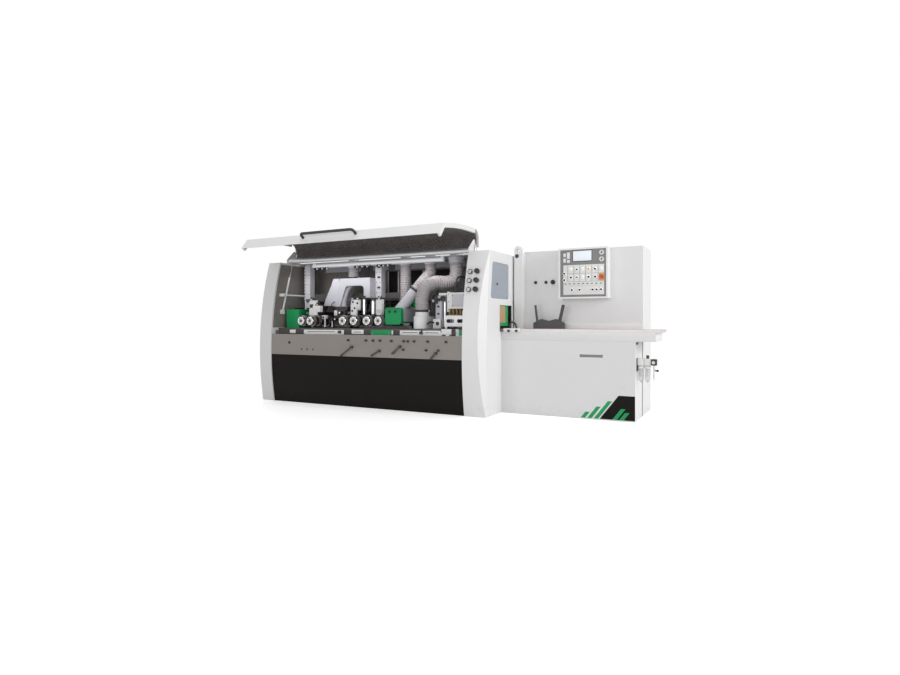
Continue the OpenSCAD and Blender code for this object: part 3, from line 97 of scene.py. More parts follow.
class NodeMaker:
    def add(self, kind, settings, sockets, out=0):
        node = self.tree.nodes.new(kind)
        for key, value in settings.items():
            setattr(node, key, value)
        for key, value in sockets.items():
            self.feed(node.inputs[key], value)
        return Wire(self, node.outputs[out])

    def feed(self, socket, value):
        if isinstance(value, Wire):
            self.tree.links.new(value.socket, socket)
        elif isinstance(value, (tuple, list)) and socket.type == "RGBA":
            socket.default_value = (*value[:3], 1)
        else:
            socket.default_value = value

    def maths(self, operation, value):
        return self.add("ShaderNodeMath", {"operation": operation}, {0: value})

    def apart(self, vector):
        node = self.add("ShaderNodeSeparateXYZ", {}, {0: vector}).socket.node
        return [Wire(self, o) for o in node.outputs]


class Finish(NodeMaker):
    def __init__(self, name):
        self.material = bpy.data.materials.new(name)
        self.material.use_nodes = True
        self.tree = self.material.node_tree
        self.shader = self.tree.nodes["Principled BSDF"]
        self.where = Wire(self, self.tree.nodes.new("ShaderNodeTexCoord").outputs["Object"])

    def set(self, **sockets):
        for key, value in sockets.items():
            self.feed(self.shader.inputs[key.replace("_", " ")], value)
        return self

    def cloud(self, scale, detail=3.0, rough=0.55, where=None):
        sockets = {"Vector": where or self.where, "Scale": scale, "Detail": detail, "Roughness": rough}
        return self.add("ShaderNodeTexNoise", {}, sockets)

    def cells(self, scale):
        return self.add("ShaderNodeTexVoronoi", {}, {"Vector": self.where, "Scale": scale})

    def steps(self, value, low, high, first=0.0, last=1.0):
        return self.add("ShaderNodeMapRange", {}, {0: value, 1: low, 2: high, 3: first, 4: last})

    def tint(self, amount, a, b):
        return self.add("ShaderNodeMix", {"data_type": "RGBA"}, {0: amount, 6: a, 7: b}, 2)

    def bump(self, height, depth, soft=0.0):
        sockets = {"Height": height, "Distance": depth, "Strength": 1.0}
        if soft:
            sockets["Normal"] = self.add("ShaderNodeBevel", {"samples": 3}, {"Radius": soft})
        self.set(Normal=self.add("ShaderNodeBump", {}, sockets))
        return self


def darker(tone, by, plus=0.0): return tuple(c * by + plus for c in tone)


# sprayed machine paint: fine orange peel, faint cloudiness, rubbed and dusty patches, darker and rougher
# towards the floor
def paint(name, tone, rough=0.36, grimeAndFloorDarkening=0.10, coat=0.10, gloss=0.35, soft=0.0016):
    f = Finish(name)
    peel = f.cloud(420, 2.0)
    mottled = f.cloud(3.1, 4.0)
    specks = f.steps(f.cells(55), 0.015, 0.05, 1.0, 0.0)
    # darker towards the floor: a fade over the lowest 0.16 m, mixed with the dust clouds
    low = f.steps(f.apart(f.where)[2], 0.0, 0.16, 1.0, 0.0)
    dirtAndFloorDarkening = f.steps(f.cloud(14, 5.0) + low * 0.35, 0.62, 1.0) * grimeAndFloorDarkening * 2.4
    base = f.tint(mottled * 0.5, tone, darker(tone, 0.95))
    base = f.tint(dirtAndFloorDarkening + specks * 0.05, base, darker(tone, 0.62))
    f.set(Base_Color=base, Roughness=rough + mottled * 0.10 + dirtAndFloorDarkening * 0.2, Metallic=0.0,
          Coat_Weight=coat, Coat_Roughness=0.18, Specular_IOR_Level=gloss)
    return f.bump(peel + dirtAndFloorDarkening * 0.6, 0.00022, soft).material


# ground and turned steel: fine lines along one axis, small stains
def steel(name, tone, lines, rough, stain=0.35):
    f = Finish(name)
    along = f.add("ShaderNodeMapping", {}, {"Vector": f.where, "Scale": lines})
    scratch = f.cloud(1.0, 3.0, 0.6, along)
    stains = f.cloud(19, 5.0, 0.6)
    base = f.tint(f.steps(stains, 0.5, 0.8) * stain, tone, darker(tone, 0.72))
    f.set(Base_Color=base, Metallic=1.0, Roughness=rough + scratch * 0.22 + stains * 0.08)
    return f.bump(scratch, 0.00012, 0.0008).material


# sheet with upright swages, as on the wall behind the spindles; the swages are also darkened in colour,
# painted shade
def ribbedWall(name, tone):
    f = Finish(name)
    bands = f.add("ShaderNodeTexWave", {"bands_direction": "X"}, {"Vector": f.where, "Scale": 5.2}, 1)
    swage = f.steps(bands, 0.75, 1.0)
    dust = f.cloud(8, 5.0)
    # painted shade: the swage bands darken the colour; the dust clouds are random dust
    base = f.tint(dust * 0.8 + swage * 0.3, tone, darker(tone, 0.68))
    f.set(Base_Color=base, Roughness=0.55 + dust * 0.1, Specular_IOR_Level=0.25)
    return f.bump(swage * 0.8 + f.cloud(300) * 0.05, 0.003).material


def chrome(name, tone):
    f = Finish(name)
    haze = f.cloud(26, 4.0)
    f.set(Base_Color=f.tint(haze * 0.4, tone, darker(tone, 0.8)), Metallic=1.0, Roughness=0.07
          + haze * 0.12)
    return f.bump(f.cloud(300), 0.00003, 0.0008).material


def casting(name, tone, rough=0.62):
    f = Finish(name)
    grain = f.cloud(170, 4.0, 0.7)
    patches = f.cloud(7, 4.0)
    base = f.tint(patches * 0.7, tone, darker(tone, 0.7))
    f.set(Base_Color=base, Metallic=0.55, Roughness=rough - patches * 0.15)
    return f.bump(grain, 0.0006, 0.0012).material


def plastic(name, tone, rough=0.45, grain=520, depth=0.00015):
    f = Finish(name)
    skin = f.cloud(grain, 2.0)
    rub = f.cloud(24, 5.0)
    base = f.tint(f.steps(rub, 0.5, 0.85) * 0.5, tone, darker(tone, 0.8, 0.02))
    f.set(Base_Color=base, Roughness=rough + rub * 0.12)
    return f.bump(skin, depth, 0.0006).material


def foam(name, tone):
    f = Finish(name)
    pores = f.cells(420)
    base = f.tint(f.cloud(9, 5.0), tone, darker(tone, 1.7, 0.006))
    f.set(Base_Color=base, Roughness=0.95, Specular_IOR_Level=0.08)
    return f.bump(pores + f.cloud(160), 0.0012).material


def hoseSkin(name, tone):
    f = Finish(name)
    dust = f.cloud(11, 5.0)
    base = f.tint(f.steps(dust, 0.35, 0.75), tone, darker(tone, 0.75, 0.14))
    f.set(Base_Color=base, Roughness=0.42 + dust * 0.25)
    return f.bump(f.cloud(210), 0.0004).material


def pane(name, tone, alpha):
    f = Finish(name)
    smear = f.cloud(6, 5.0)
    base = f.tint(smear * 0.4, tone, darker(tone, 1.3))
    f.set(Base_Color=base, Roughness=0.05 + smear * 0.08, Alpha=alpha, IOR=1.45)
    return f.bump(f.cloud(40), 0.00005).material


def lit(name, tone, power):
    f = Finish(name)
    glow = f.cloud(30)
    f.set(Base_Color=tone, Emission_Color=f.tint(glow * 0.2, tone, darker(tone, 0.9)),
          Emission_Strength=power, Roughness=0.2 + glow * 0.1)
    return f.material


finishes = {
    paint: {  # name, tone, roughness, grime and floor darkening, coat, gloss, softened edge
        "white": ("whitePaint", (0.80, 0.80, 0.80)),
        "light": ("lightPaint", (0.72, 0.715, 0.72)),
        "cabinet": ("cabinetPaint", (0.735, 0.73, 0.735), 0.42),
        "black": ("blackPanel", (0.0095, 0.0080, 0.0075), 0.45, 0.22, 0.0, 0.08),
        "warmGrey": ("warmGreyPanel", (0.296, 0.270, 0.248), 0.5, 0.10, 0.0, 0.2),
        "duct": ("ductPaint", (0.58, 0.58, 0.63)),
        "green": ("greenPaint", (0.014, 0.320, 0.105), 0.34, 0.10, 0.05, 0.2),
        "motor": ("motorPaint", (0.06, 0.09, 0.13), 0.45),
        # flat near-black used only as painted shade: in the back wall's openings and in the gaps between
        # louvre slats
        "recess": ("recessPaint", (0.020, 0.018, 0.018), 0.6, 0.3, 0.0, 0.1),
        "beam": ("beamPaint", (0.10, 0.095, 0.092), 0.45, 0.25, 0.0, 0.25),
        "post": ("postPaint", (0.74, 0.72, 0.77), 0.4, 0.15, 0.10, 0.35, 0.0012),
        "carrier": ("carrierPaint", (0.055, 0.05, 0.05), 0.45, 0.3, 0.0, 0.3)},
    steel: {  # name, tone, stretch of the lines, roughness, stains
        "table": ("tableTop", (0.56, 0.525, 0.52), (3, 90, 90), 0.42, 0.12),
        "plate": ("bedPlate", (0.50, 0.50, 0.51), (3, 120, 120), 0.28),
        "bedTop": ("bedTop", (0.14, 0.126, 0.120), (3, 120, 120), 0.40),
        "steel": ("turnedSteel", (0.56, 0.56, 0.57), (220, 220, 220), 0.24),
        "satin": ("satinTube", (0.60, 0.60, 0.615), (4, 200, 200), 0.40, 0.15),
        "zinc": ("zincSheet", (0.58, 0.59, 0.61), (30, 30, 30), 0.38),
        "brass": ("springBrass", (0.55, 0.40, 0.20), (160, 160, 160), 0.34)},
    casting: {
        "bed": ("bedCasting", (0.16, 0.16, 0.165)),
        "darkIron": ("darkIron", (0.075, 0.07, 0.075), 0.55),
        "rollerIron": ("rollerIron", (0.105, 0.085, 0.078), 0.5)},
    plastic: {  # name, tone, roughness, grain, depth of the grain
        "blackPlastic": ("blackPlastic", (0.014, 0.014, 0.015)),
        "handle": ("handlePlastic", (0.02, 0.02, 0.021), 0.38, 300, 0.0003),
        "pale": ("palePlastic", (0.74, 0.74, 0.72), 0.3),
        "greyPlate": ("greyFacePlate", (0.20, 0.20, 0.205), 0.4),
        "redPlastic": ("redPlastic", (0.52, 0.03, 0.012), 0.26),
        "amber": ("amberPlastic", (0.72, 0.30, 0.03), 0.3),
        "bluePlastic": ("bluePlastic", (0.02, 0.06, 0.15), 0.3),
        "tan": ("tanInsert", (0.46, 0.30, 0.15), 0.5, 140, 0.0004)},
    ribbedWall: {"wall": ("innerWall", (0.250, 0.230, 0.212))},
    chrome: {"chrome": ("chromePlate", (0.80, 0.80, 0.82))},
    foam: {"foam": ("acousticFoam", (0.138, 0.126, 0.121))},
    hoseSkin: {"hose": ("hosePlastic", (0.385, 0.350, 0.365))},
    pane: {"glass": ("tintedPane", (0.38, 0.42, 0.49), 0.82),
           "bowl": ("clearBowl", (0.62, 0.64, 0.64), 0.45)},
    lit: {"lamp": ("lampTube", (0.80, 0.81, 0.84), 0.25),
          "screen": ("screenGlow", (0.62, 0.66, 0.70), 0.35)},
}
fin = {key: make(*given) for make, rows in finishes.items() for key, given in rows.items()}
finishOf = {  # nodes of each finish, numbered ones by their stem; the others are turned steel
    "white": "right_tower hood_shell lift_column control_box",
    "light": "left_column rear_housing strut_cylinders infeed_base",
    "cabinet": "electrical_cabinet cabinet_door", "green": "green_hoods infeed_guard",
    "black": "lower_panel", "warmGrey": "upper_panel", "wall": "inner_wall", "beam": "feed_beam",
    "carrier": "press_cylinders roller_carrier", "motor": "spindle_units", "duct": "grey_ducts",
    "bed": "machine_bed", "bedTop": "bed_plates", "table": "infeed_table", "plate": "fence_guides",
    "darkIron": "panel_adjusters fence_bracket clamp_lever", "rollerIron": "feed_roller",
    "zinc": "dust_spigots", "satin": "hinge_tube", "chrome": "strut_rod_left strut_rod_right",
    "blackPlastic": "dials main_switch regulator_knob", "redPlastic": "e_stop", "pale": "air_unit",
    "handle": "hood_handle", "foam": "hood_liner", "hose": "dust_hoses", "glass": "tower_window",
    "lamp": "work_lamp",
}
toneOf = {node: tone for tone, names in finishOf.items() for node in names.split()}
for name, thing in nodes.items():
    thing.data.materials.clear()
    thing.data.materials.append(fin[toneOf.get(name.rstrip("_0123456789"), "steel")])
print("finishes on", len(nodes), "nodes")

# the shared lines of the enclosure
body = {"frontR": 3590, "reach": 458, "apex": 622, "left": -1310, "right": 1250}


def frontY(z, inset=0.0):
    return body["frontR"] - body["reach"] - math.sqrt((body["frontR"] - inset) ** 2 - (z - body["apex"]) ** 2)


# a place on the object: local Z points outwards, local X to the right
def place(at, outward, right=(1, 0, 0)):
    z = Vector(outward).normalized()
    x = Vector(right) - z * z.dot(Vector(right))
    x.normalize()
    m = Matrix((x, z.cross(x), z)).transposed().to_4x4()
    m.translation = Vector(at)
    return m


def front(x=0, y=0, z=0): return place((x, y, z), (0, -1, 0))
def rearward(x=0, y=0, z=0): return place((x, y, z), (0, 1, 0), (-1, 0, 0))
def rightward(x=0, y=0, z=0): return place((x, y, z), (1, 0, 0), (0, 1, 0))
def spot(x=0, y=0, z=0): return Matrix.Translation((x, y, z))
def moved(m, x=0, y=0, z=0): return m @ spot(x, y, z)
def spun(m, turn, axis="Z"): return m @ Matrix.Rotation(turn, 4, axis)
def polar(m, r, turn, z): return spun(moved(m, r * math.cos(turn), r * math.sin(turn), z), turn)


def frontFrame(x, z, inset=0.0):
    t = math.asin((z - body["apex"]) / body["frontR"])
    return place((x, frontY(z, inset), z), (0, -math.cos(t), math.sin(t)))


def angles(count): return [tau * k / count for k in range(count)]


def arc(cx, cy, r, start, turn, steps):
    sweep = [start + turn * k / steps for k in range(steps + 1)]
    return [(cx + r * math.cos(a), cy + r * math.sin(a)) for a in sweep]


def seated(name, mesh, rider, sharp):
    mesh.set_sharp_from_angle(angle=math.radians(sharp))
    thing = linked(name, mesh)
    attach(thing, rider)
    return thing


# a mesh under construction, with a finish for each shape that is added
class Shape:
    def __init__(self):
        self.bm, self.finishes = bmesh.new(), []

    def mark(self, faces, finish):
        if finish not in self.finishes:
            self.finishes.append(finish)
        for f in faces:
            f.material_index = self.finishes.index(finish)
            f.smooth = True

    def row(self, at, points):
        return [self.bm.verts.new(at @ Vector(p) * mm) for p in points]

    # faces between rows of points; a row of one point is a pole
    def skin(self, rows, finish, ends=True, split=False):
        made = []
        for a, b in zip(rows, rows[1:] if ends else rows[1:] + rows[:1]):
            for k in range(max(len(a), len(b)) - split):
                quad = (a[k % len(a)], a[(k + 1) % len(a)], b[(k + 1) % len(b)], b[k % len(b)])
                corners = list(dict.fromkeys(quad))
                if len(corners) > 2:
                    made.append(self.bm.faces.new(corners))
        if ends:
            made += [self.bm.faces.new(row) for row in (rows[0], rows[-1]) if len(row) > 1]
        if split:
            made += [self.bm.faces.new([row[k] for row in rows]) for k in (0, -1)]
        bmesh.ops.recalc_face_normals(self.bm, faces=made)
        self.mark(made, finish)
        return made

    def turned(self, at, profile, finish, sides=32, hollow=False):
        rounds = [[(r * math.cos(a), r * math.sin(a), h) for a in (angles(sides) if r else [0])]
                  for r, h in profile]
        self.skin([self.row(at, points) for points in rounds], finish, not hollow)

    def ring(self, at, profile, finish, sides=32):
        self.turned(at, profile, finish, sides, True)

    def prism(self, at, outline, low, high, finish, edge=0.0):
        made = self.skin([self.row(at, [(x, y, h) for x, y in outline]) for h in (low, high)], finish)
        if edge:
            edges = list({e for f in made for e in f.edges})
            cut = bmesh.ops.bevel(self.bm, geom=edges, offset=edge * mm, segments=2, profile=0.6,
                                  affect="EDGES")
            self.mark(cut["faces"], finish)

    def box(self, x0, x1, y0, y1, z0, z1, finish, edge=4):
        self.prism(Matrix(), [(x0, y0), (x1, y0), (x1, y1), (x0, y1)], z0, z1, finish, edge)

    def block(self, at, size, finish, edge=1.5):
        x, y, z = (s / 2 for s in size)
        self.prism(at, [(-x, -y), (x, -y), (x, y), (-x, y)], -z, z, finish, edge)

    def tube(self, x, y, z0, z1, r, finish):
        self.turned(spot(x, y), [(r * 0.8, z0), (r, z0 + 2), (r, z1 - 2), (r * 0.8, z1)], finish, 28)

    def sleeve(self, at, path, thick, low, high, finish, closed=False):
        pts, count = [Vector(p) for p in path], len(path)
        outer = []
        for i, p in enumerate(pts):
            ways = [p - pts[i - 1]] if closed or i else []
            ways += [pts[(i + 1) % count] - p] if closed or i < count - 1 else []
            sides = [Vector((w.y, -w.x)).normalized() for w in ways]
            lean = sum(sides, Vector((0, 0))).normalized()
            outer.append(p + lean * (thick / lean.dot(sides[0])))
        walls = ((pts, low), (outer, low), (outer, high), (pts, high))
        self.skin([self.row(at, [(*q, h) for q in line]) for line, h in walls], finish, False, not closed)

    def pipe(self, points, radius, finish, sides=12):
        pts = [Vector(p) for p in points]
        rows, side = [], Vector((0.31, 0.87, 0.38))
        for i, p in enumerate(pts):
            ahead = (pts[min(i + 1, len(pts) - 1)] - pts[max(i - 1, 0)]).normalized()
            side = (side - ahead * ahead.dot(side)).normalized()
            up = ahead.cross(side)
            ring = [p + radius * (math.cos(a) * side + math.sin(a) * up) for a in angles(sides)]
            rows.append(self.row(Matrix(), ring))
        self.skin(rows, finish)

    # what a piece's dictionary lists: boxes, upright tubes, bent pipes, and turned parts that face the front
    def fit(self, parts):
        for row in parts.get("boxes", ()):
            self.box(*row)
        for row in parts.get("tubes", ()):
            self.tube(*row)
        for radius, finish, *points in parts.get("pipes", ()):
            self.pipe(smoothPath(points), radius, finish)
        for at, finish, sides, *profile in parts.get("turned", ()):
            self.turned(front(*at), profile, finish, sides)
        return self

    def done(self, name, slot, rider="machine_frame", sharp=28):
        mesh = bpy.data.meshes.new(name)
        self.bm.to_mesh(mesh)
        self.bm.free()
        for finish in self.finishes:
            mesh.materials.append(fin[finish])
        return seated(name, mesh, rider, sharp)


def smoothPath(points, perLeg=8):
    pts = [Vector(p) for p in points]
    out = []
    for i in range(len(pts) - 1):
        a, b, c, d = pts[max(i - 1, 0)], pts[i], pts[i + 1], pts[min(i + 2, len(pts) - 1)]
        for u in (k / perLeg for k in range(perLeg)):
            bend = (2 * a - 5 * b + 4 * c - d) * u * u + (3 * b - a - 3 * c + d) * u ** 3
            out.append(b + ((c - a) * u + bend) / 2)
    return out + [pts[-1]]


def lengthOf(points): return sum((b - a).length for a, b in zip(points, points[1:]))


def curveOf(name, points):
    curve = bpy.data.curves.new(name, "CURVE")
    curve.dimensions = "3D"
    line = curve.splines.new("POLY")
    line.points.add(len(points) - 1)
    for dot, p in zip(line.points, points):
        dot.co = (*(p * mm), 1)
    return curve


# a geometry nodes tree with named inputs, grown once into a plain mesh
class Grower(NodeMaker):
    def __init__(self, name, inputs):
        self.tree = bpy.data.node_groups.new(name, "GeometryNodeTree")
        face = self.tree.interface
        face.new_socket("Geometry", in_out="INPUT", socket_type="NodeSocketGeometry")
        self.ids = {key: face.new_socket(key, in_out="INPUT", socket_type="NodeSocket" + kind).identifier
                    for key, kind in {**inputs, "finish": "Material"}.items()}
        face.new_socket("Geometry", in_out="OUTPUT", socket_type="NodeSocketGeometry")
        self.start = self.tree.nodes.new("NodeGroupInput")
        self.seed = self.asked("Geometry")

    def asked(self, key): return Wire(self, self.start.outputs[key])

    def onPoints(self, instance, **sockets):
        self.close(self.add("GeometryNodeInstanceOnPoints", {},
                            {"Points": self.seed, "Instance": instance, **sockets}))

    def close(self, geometry):
        real = self.add("GeometryNodeRealizeInstances", {}, {"Geometry": geometry})
        dressed = self.add("GeometryNodeSetMaterial", {},
                           {"Geometry": real, "Material": self.asked("finish")})
        self.tree.links.new(dressed.socket, self.tree.nodes.new("NodeGroupOutput").inputs[0])

    def grow(self, name, data, finish, values, slot, rider="machine_frame", sharp=34):
        seed = linked(name + "Seed", data)
        step = seed.modifiers.new("grow", "NODES")
        step.node_group = self.tree
        for key, value in {**values, "finish": fin[finish]}.items():
            step[self.ids[key]] = value
        bpy.context.view_layer.update()
        mesh = bpy.data.meshes.new_from_object(seed.evaluated_get(bpy.context.evaluated_depsgraph_get()))
        bpy.data.objects.remove(seed)
        mesh.name = name
        mesh.polygons.foreach_set("use_smooth", [True] * len(mesh.polygons))
        return seated(name, mesh, rider, sharp)


# screw heads on a list of places, each with the direction it faces
screwTree = Grower("screwHeads", {"headRadius": "Float", "headDepth": "Float", "sides": "Int"})
radius = screwTree.asked("headRadius")
head = screwTree.add("GeometryNodeMeshCone", {"fill_type": "NGON"}, {
    "Vertices": screwTree.asked("sides"), "Radius Bottom": radius, "Radius Top": radius * 0.84,
    "Depth": screwTree.asked("headDepth")})
facing = screwTree.add("GeometryNodeInputNamedAttribute", {"data_type": "FLOAT_VECTOR"}, {"Name": "facing"})
turnOut = screwTree.add("FunctionNodeAlignRotationToVector", {"axis": "Z"}, {"Vector": facing})
screwTree.onPoints(head, Rotation=turnOut)


def pointCloud(name, spots, ways=((0, 1, 0),)):
    mesh = bpy.data.meshes.new(name)
    mesh.from_pydata([Vector(p) * mm for p in spots], [], [])
    ways = ways if len(ways) == len(spots) else [ways[0]] * len(spots)
    numbers = [c for n in ways for c in Vector(n).normalized()]
    mesh.attributes.new("facing", "FLOAT_VECTOR", "POINT").data.foreach_set("vector", numbers)
    return mesh


def screws(name, spots, radius, depth, finish="steel", slot="tool_steel", sides=6, rider="machine_frame",
           ways=((0, -1, 0),)):
    values = {"headRadius": radius * mm, "headDepth": depth * mm, "sides": sides}
    return screwTree.grow(name, pointCloud(name, spots, ways), finish, values, slot, rider)


# dust hoses: a round skin over each route, swollen into ribs
hoses = {"pitch": 26, "ribHeight": 6, "perRib": 8, "sides": 36, "perLeg": 24}
hoseTree = Grower("ribbedHose", {"crest": "Float", "ribHeight": "Float", "pitch": "Float", "step": "Float",
                                 "sides": "Int"})
cut = hoseTree.add("GeometryNodeResampleCurve", {"mode": "LENGTH"}, {
    "Curve": hoseTree.seed, "Length": hoseTree.asked("step")})
along = hoseTree.add("GeometryNodeSplineParameter", {}, {}, 1)
swell = hoseTree.maths("ABSOLUTE", hoseTree.maths("SINE", along / hoseTree.asked("pitch") * math.pi))
thick = hoseTree.asked("crest") - hoseTree.asked("ribHeight") * (1 - swell)
loop = hoseTree.add("GeometryNodeCurvePrimitiveCircle", {},
                    {"Resolution": hoseTree.asked("sides"), "Radius": 1.0})
hoseTree.close(hoseTree.add("GeometryNodeCurveToMesh", {}, {
    "Curve": cut, "Profile Curve": loop, "Scale": thick, "Fill Caps": True}))

dust = {"y": 60, "low": 1640, "straight": (272.1, -469.9), "elbowEnd": 601.1, "mainEnd": 928.9, "crest": 64,
        "mainCrest": 75, "armTop": (486.1, -100, 1290), "armFoot": (365.9, -180, 1110),
        "mainStart": (660.1, -230, 1060), "hoodTop": 1110, "archTop": 1473, "elbowNeck": 128, "mainNeck": 150,
        "elbowShares": [(0.52, 0.38, 0.42)],
        "mainShares": [(0.1, 0.12, 0.42), (0.38, 0.38, 0.62), (0.68, 0.68, 0.62), (0.92, 0.92, 0.72)]}
armTop, mainStart = Vector(dust["armTop"]), Vector(dust["mainStart"])
armLift = (armTop - Vector(dust["armFoot"])).normalized()


def dustPoint(x, z=dust["low"]): return Vector((x, dust["y"], z))


def bentRoute(start, way, shares, end, neckDrop):
    foot, neck = start + way * neckDrop, end - Vector((0, 0, neckDrop))
    middle = [Vector((foot[k] + q[k] * (neck[k] - foot[k]) for k in range(3))) for q in shares]
    return [start, (start + foot) / 2, foot] + middle + [neck, (neck + end) / 2, end]


hoodX, archX = dust["straight"]
hoseRoutes = {
    "hoseGreenHood": ([dustPoint(hoodX, dust["hoodTop"]), dustPoint(hoodX)], dust["crest"]),
    "hoseElbow": (bentRoute(armTop, armLift, dust["elbowShares"], dustPoint(dust["elbowEnd"]),
                            dust["elbowNeck"]), dust["crest"]),
    "hoseMain": (bentRoute(mainStart, Vector((0, 0, 1)), dust["mainShares"], dustPoint(dust["mainEnd"]),
                           dust["mainNeck"]), dust["mainCrest"]),
    "hoseArch": ([dustPoint(archX, dust["archTop"]), dustPoint(archX)], dust["crest"]),
}
# band of a clamp: out from the crest, along the hose
clampBand = [(-4, -11), (2, -10), (2.8, -8), (2.8, 8), (2, 10), (-4, 11)]
for name, (points, crest) in hoseRoutes.items():
    run = smoothPath(points, hoses["perLeg"])
    pitch = lengthOf(run) / round(lengthOf(run) / hoses["pitch"])
    skin = hoseTree.grow(name, curveOf(name, run), "hose", {
        "crest": crest * mm, "ribHeight": hoses["ribHeight"] * mm, "pitch": pitch * mm,
        "step": pitch / hoses["perRib"] * mm, "sides": hoses["sides"]}, "hose_plastic", sharp=60)
    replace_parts(skin, "dust_hoses")
    clamp = Shape()
    at = moved(place(run[0], run[2] - run[0], (1, 0.2, 0.1)), z=12)
    clamp.turned(at, [(crest + r, h) for r, h in clampBand], "blackPlastic", 40)
    clamp.block(moved(at, crest + 6), (14, 24, 12), "steel", 2)
    clamp.turned(spun(moved(at, crest + 6), math.pi / 2, "X"), [(0, -20), (4, -20), (4, 18), (0, 18)],
                 "steel", 10)
    clamp.done(name + "Clamps", "dark_iron")
print("hoses:", len(hoseRoutes))

# acoustic foam inside the hood: an egg-crate sheet along the hood's inner line, from the lip to the hinge
hood = {"swing": -75.0, "hinge": (-51, 1702), "x": (-1279, 1219), "z": (1060, 1690), "crestRise": 70,
        "crestRun": 105, "end": (-94, 1730.5), "sheet": 4.2, "base": 9, "peak": 17,
        "pitch": 48, "perPitch": 6}
openTurn = math.radians(hood["swing"])


def opened(p):
    dy, dz = p - Vector(hood["hinge"])
    return Vector((0, hood["hinge"][0] + dy * math.cos(openTurn) - dz * math.sin(openTurn),
                   hood["hinge"][1] + dy * math.sin(openTurn) + dz * math.cos(openTurn)))


lip, top = hood["z"]
hoodLine = [Vector((frontY(z), z)) for z in (lip + (top - lip) * k / 24 for k in range(25))]
shoulder, lean = hoodLine[-1], math.asin((top - body["apex"]) / body["frontR"])
pull = shoulder + hood["crestRise"] * Vector((math.sin(lean), math.cos(lean)))
crest = Vector((shoulder.x + hood["crestRun"], pull.y))
bends = [k / 10 for k in range(1, 11)]
hoodLine += [(1 - u) ** 2 * shoulder + 2 * u * (1 - u) * pull + u * u * crest for u in bends]
hoodLine += [crest + (Vector(hood["end"]) - crest) * k / 5 for k in range(1, 6)]
foamSize = [(hood["x"][1] - hood["x"][0]) * mm, lengthOf(hoodLine) * mm]
foamTree = Grower("eggCrateFoam", {
    "sheet": "Float", "base": "Float", "peak": "Float", "pitch": "Float", "acrossCount": "Int",
    "upCount": "Int"})
grid = foamTree.add("GeometryNodeMeshCube", {}, {
    "Size": (*foamSize, 1.0), "Vertices X": foamTree.asked("acrossCount"),
    "Vertices Y": foamTree.asked("upCount"), "Vertices Z": 2})
across, up, side = foamTree.apart(foamTree.add("GeometryNodeInputPosition", {}, {}))
waves = [foamTree.maths("COSINE", way / foamTree.asked("pitch") * tau) for way in (across, up)]
crate = foamTree.asked("base") + foamTree.asked("peak") * (waves[0] * waves[1] * 0.5 + 0.5)
deep = foamTree.asked("sheet") + (side < 0.0) * crate
onLine = foamTree.add("GeometryNodeSampleCurve", {"mode": "LENGTH"}, {
    "Curves": foamTree.seed, "Length": up + foamSize[1] / 2}, "Position").socket.node
here, heading = (foamTree.apart(Wire(foamTree, onLine.outputs[key])) for key in ("Position", "Tangent"))
spread = foamTree.add("ShaderNodeCombineXYZ", {}, {
    0: across + sum(hood["x"]) / 2 * mm, 1: here[1] + heading[2] * deep, 2: here[2] - heading[1] * deep})
foamTree.close(foamTree.add("GeometryNodeSetPosition", {}, {"Geometry": grid, "Position": spread}))
counts = [round(s / (hood["pitch"] * mm) * hood["perPitch"]) + 1 for s in foamSize]
liner = foamTree.grow("foamLiner", curveOf("foamRoute", [opened(p) for p in hoodLine]), "foam", {
    **{key: hood[key] * mm for key in ("sheet", "base", "peak", "pitch")},
    "acrossCount": counts[0], "upCount": counts[1]}, "foam", "hood", 70)
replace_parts(liner, "hood_liner")
print("foam liner:", len(liner.data.polygons), "faces")

# white cheeks on the hood's two arms, round the ends of the hinge tube
cheek = {"x": ((-1262, -1258), (1217, 1220)), "sides": 32,
         "corners": ((-195, 1700, 43), (-125, 1730, 30), (-105, 1800, 28))}
cheeks = Shape()
dots = [dot for corner in cheek["corners"] for dot in arc(*corner, 0, tau, cheek["sides"])[:-1]]
rim = [dots[k] for k in convex_hull_2d(dots)]
for x0, x1 in cheek["x"]:
    cheeks.prism(rightward(x0), rim, 0, x1 - x0, "white", 0.8)
cheeks.done("hingeCheeks", "white_paint", "hood")

# control box: face plate, screen, plain fields, knobs, keys and dials; u and v are shares of its face
panel = {"x": 2013, "y": 318, "z": 1198, "w": 515, "h": 528, "keyScale": 1.22, "keyTurns": (-0.5, 0.6),
         "columns": (0.192, 0.318, 0.44, 0.56, 0.685, 0.81), "lines": (0.335, 0.495),
         "buttons": ((0.10, 0.155, 0.72, 0.80), (0.10, 0.155, 0.83, 0.90), (0.175, 0.235, 0.79, 0.92),
                     (0.175, 0.235, 0.71, 0.77)),
         "keys": (0.26, 0.38, 0.50, 0.62, 0.75), "switchHoles": (1718, 1836),
         "top": ("pale", "bluePlastic", "pale", "amber", "blackPlastic"),
         "middle": ("blackPlastic", "greyPlate", "pale", "blackPlastic", "blackPlastic")}


def faceAt(u, v, out=0.0):
    return front(panel["x"] + u * panel["w"], panel["y"] - out, panel["z"] + v * panel["h"])


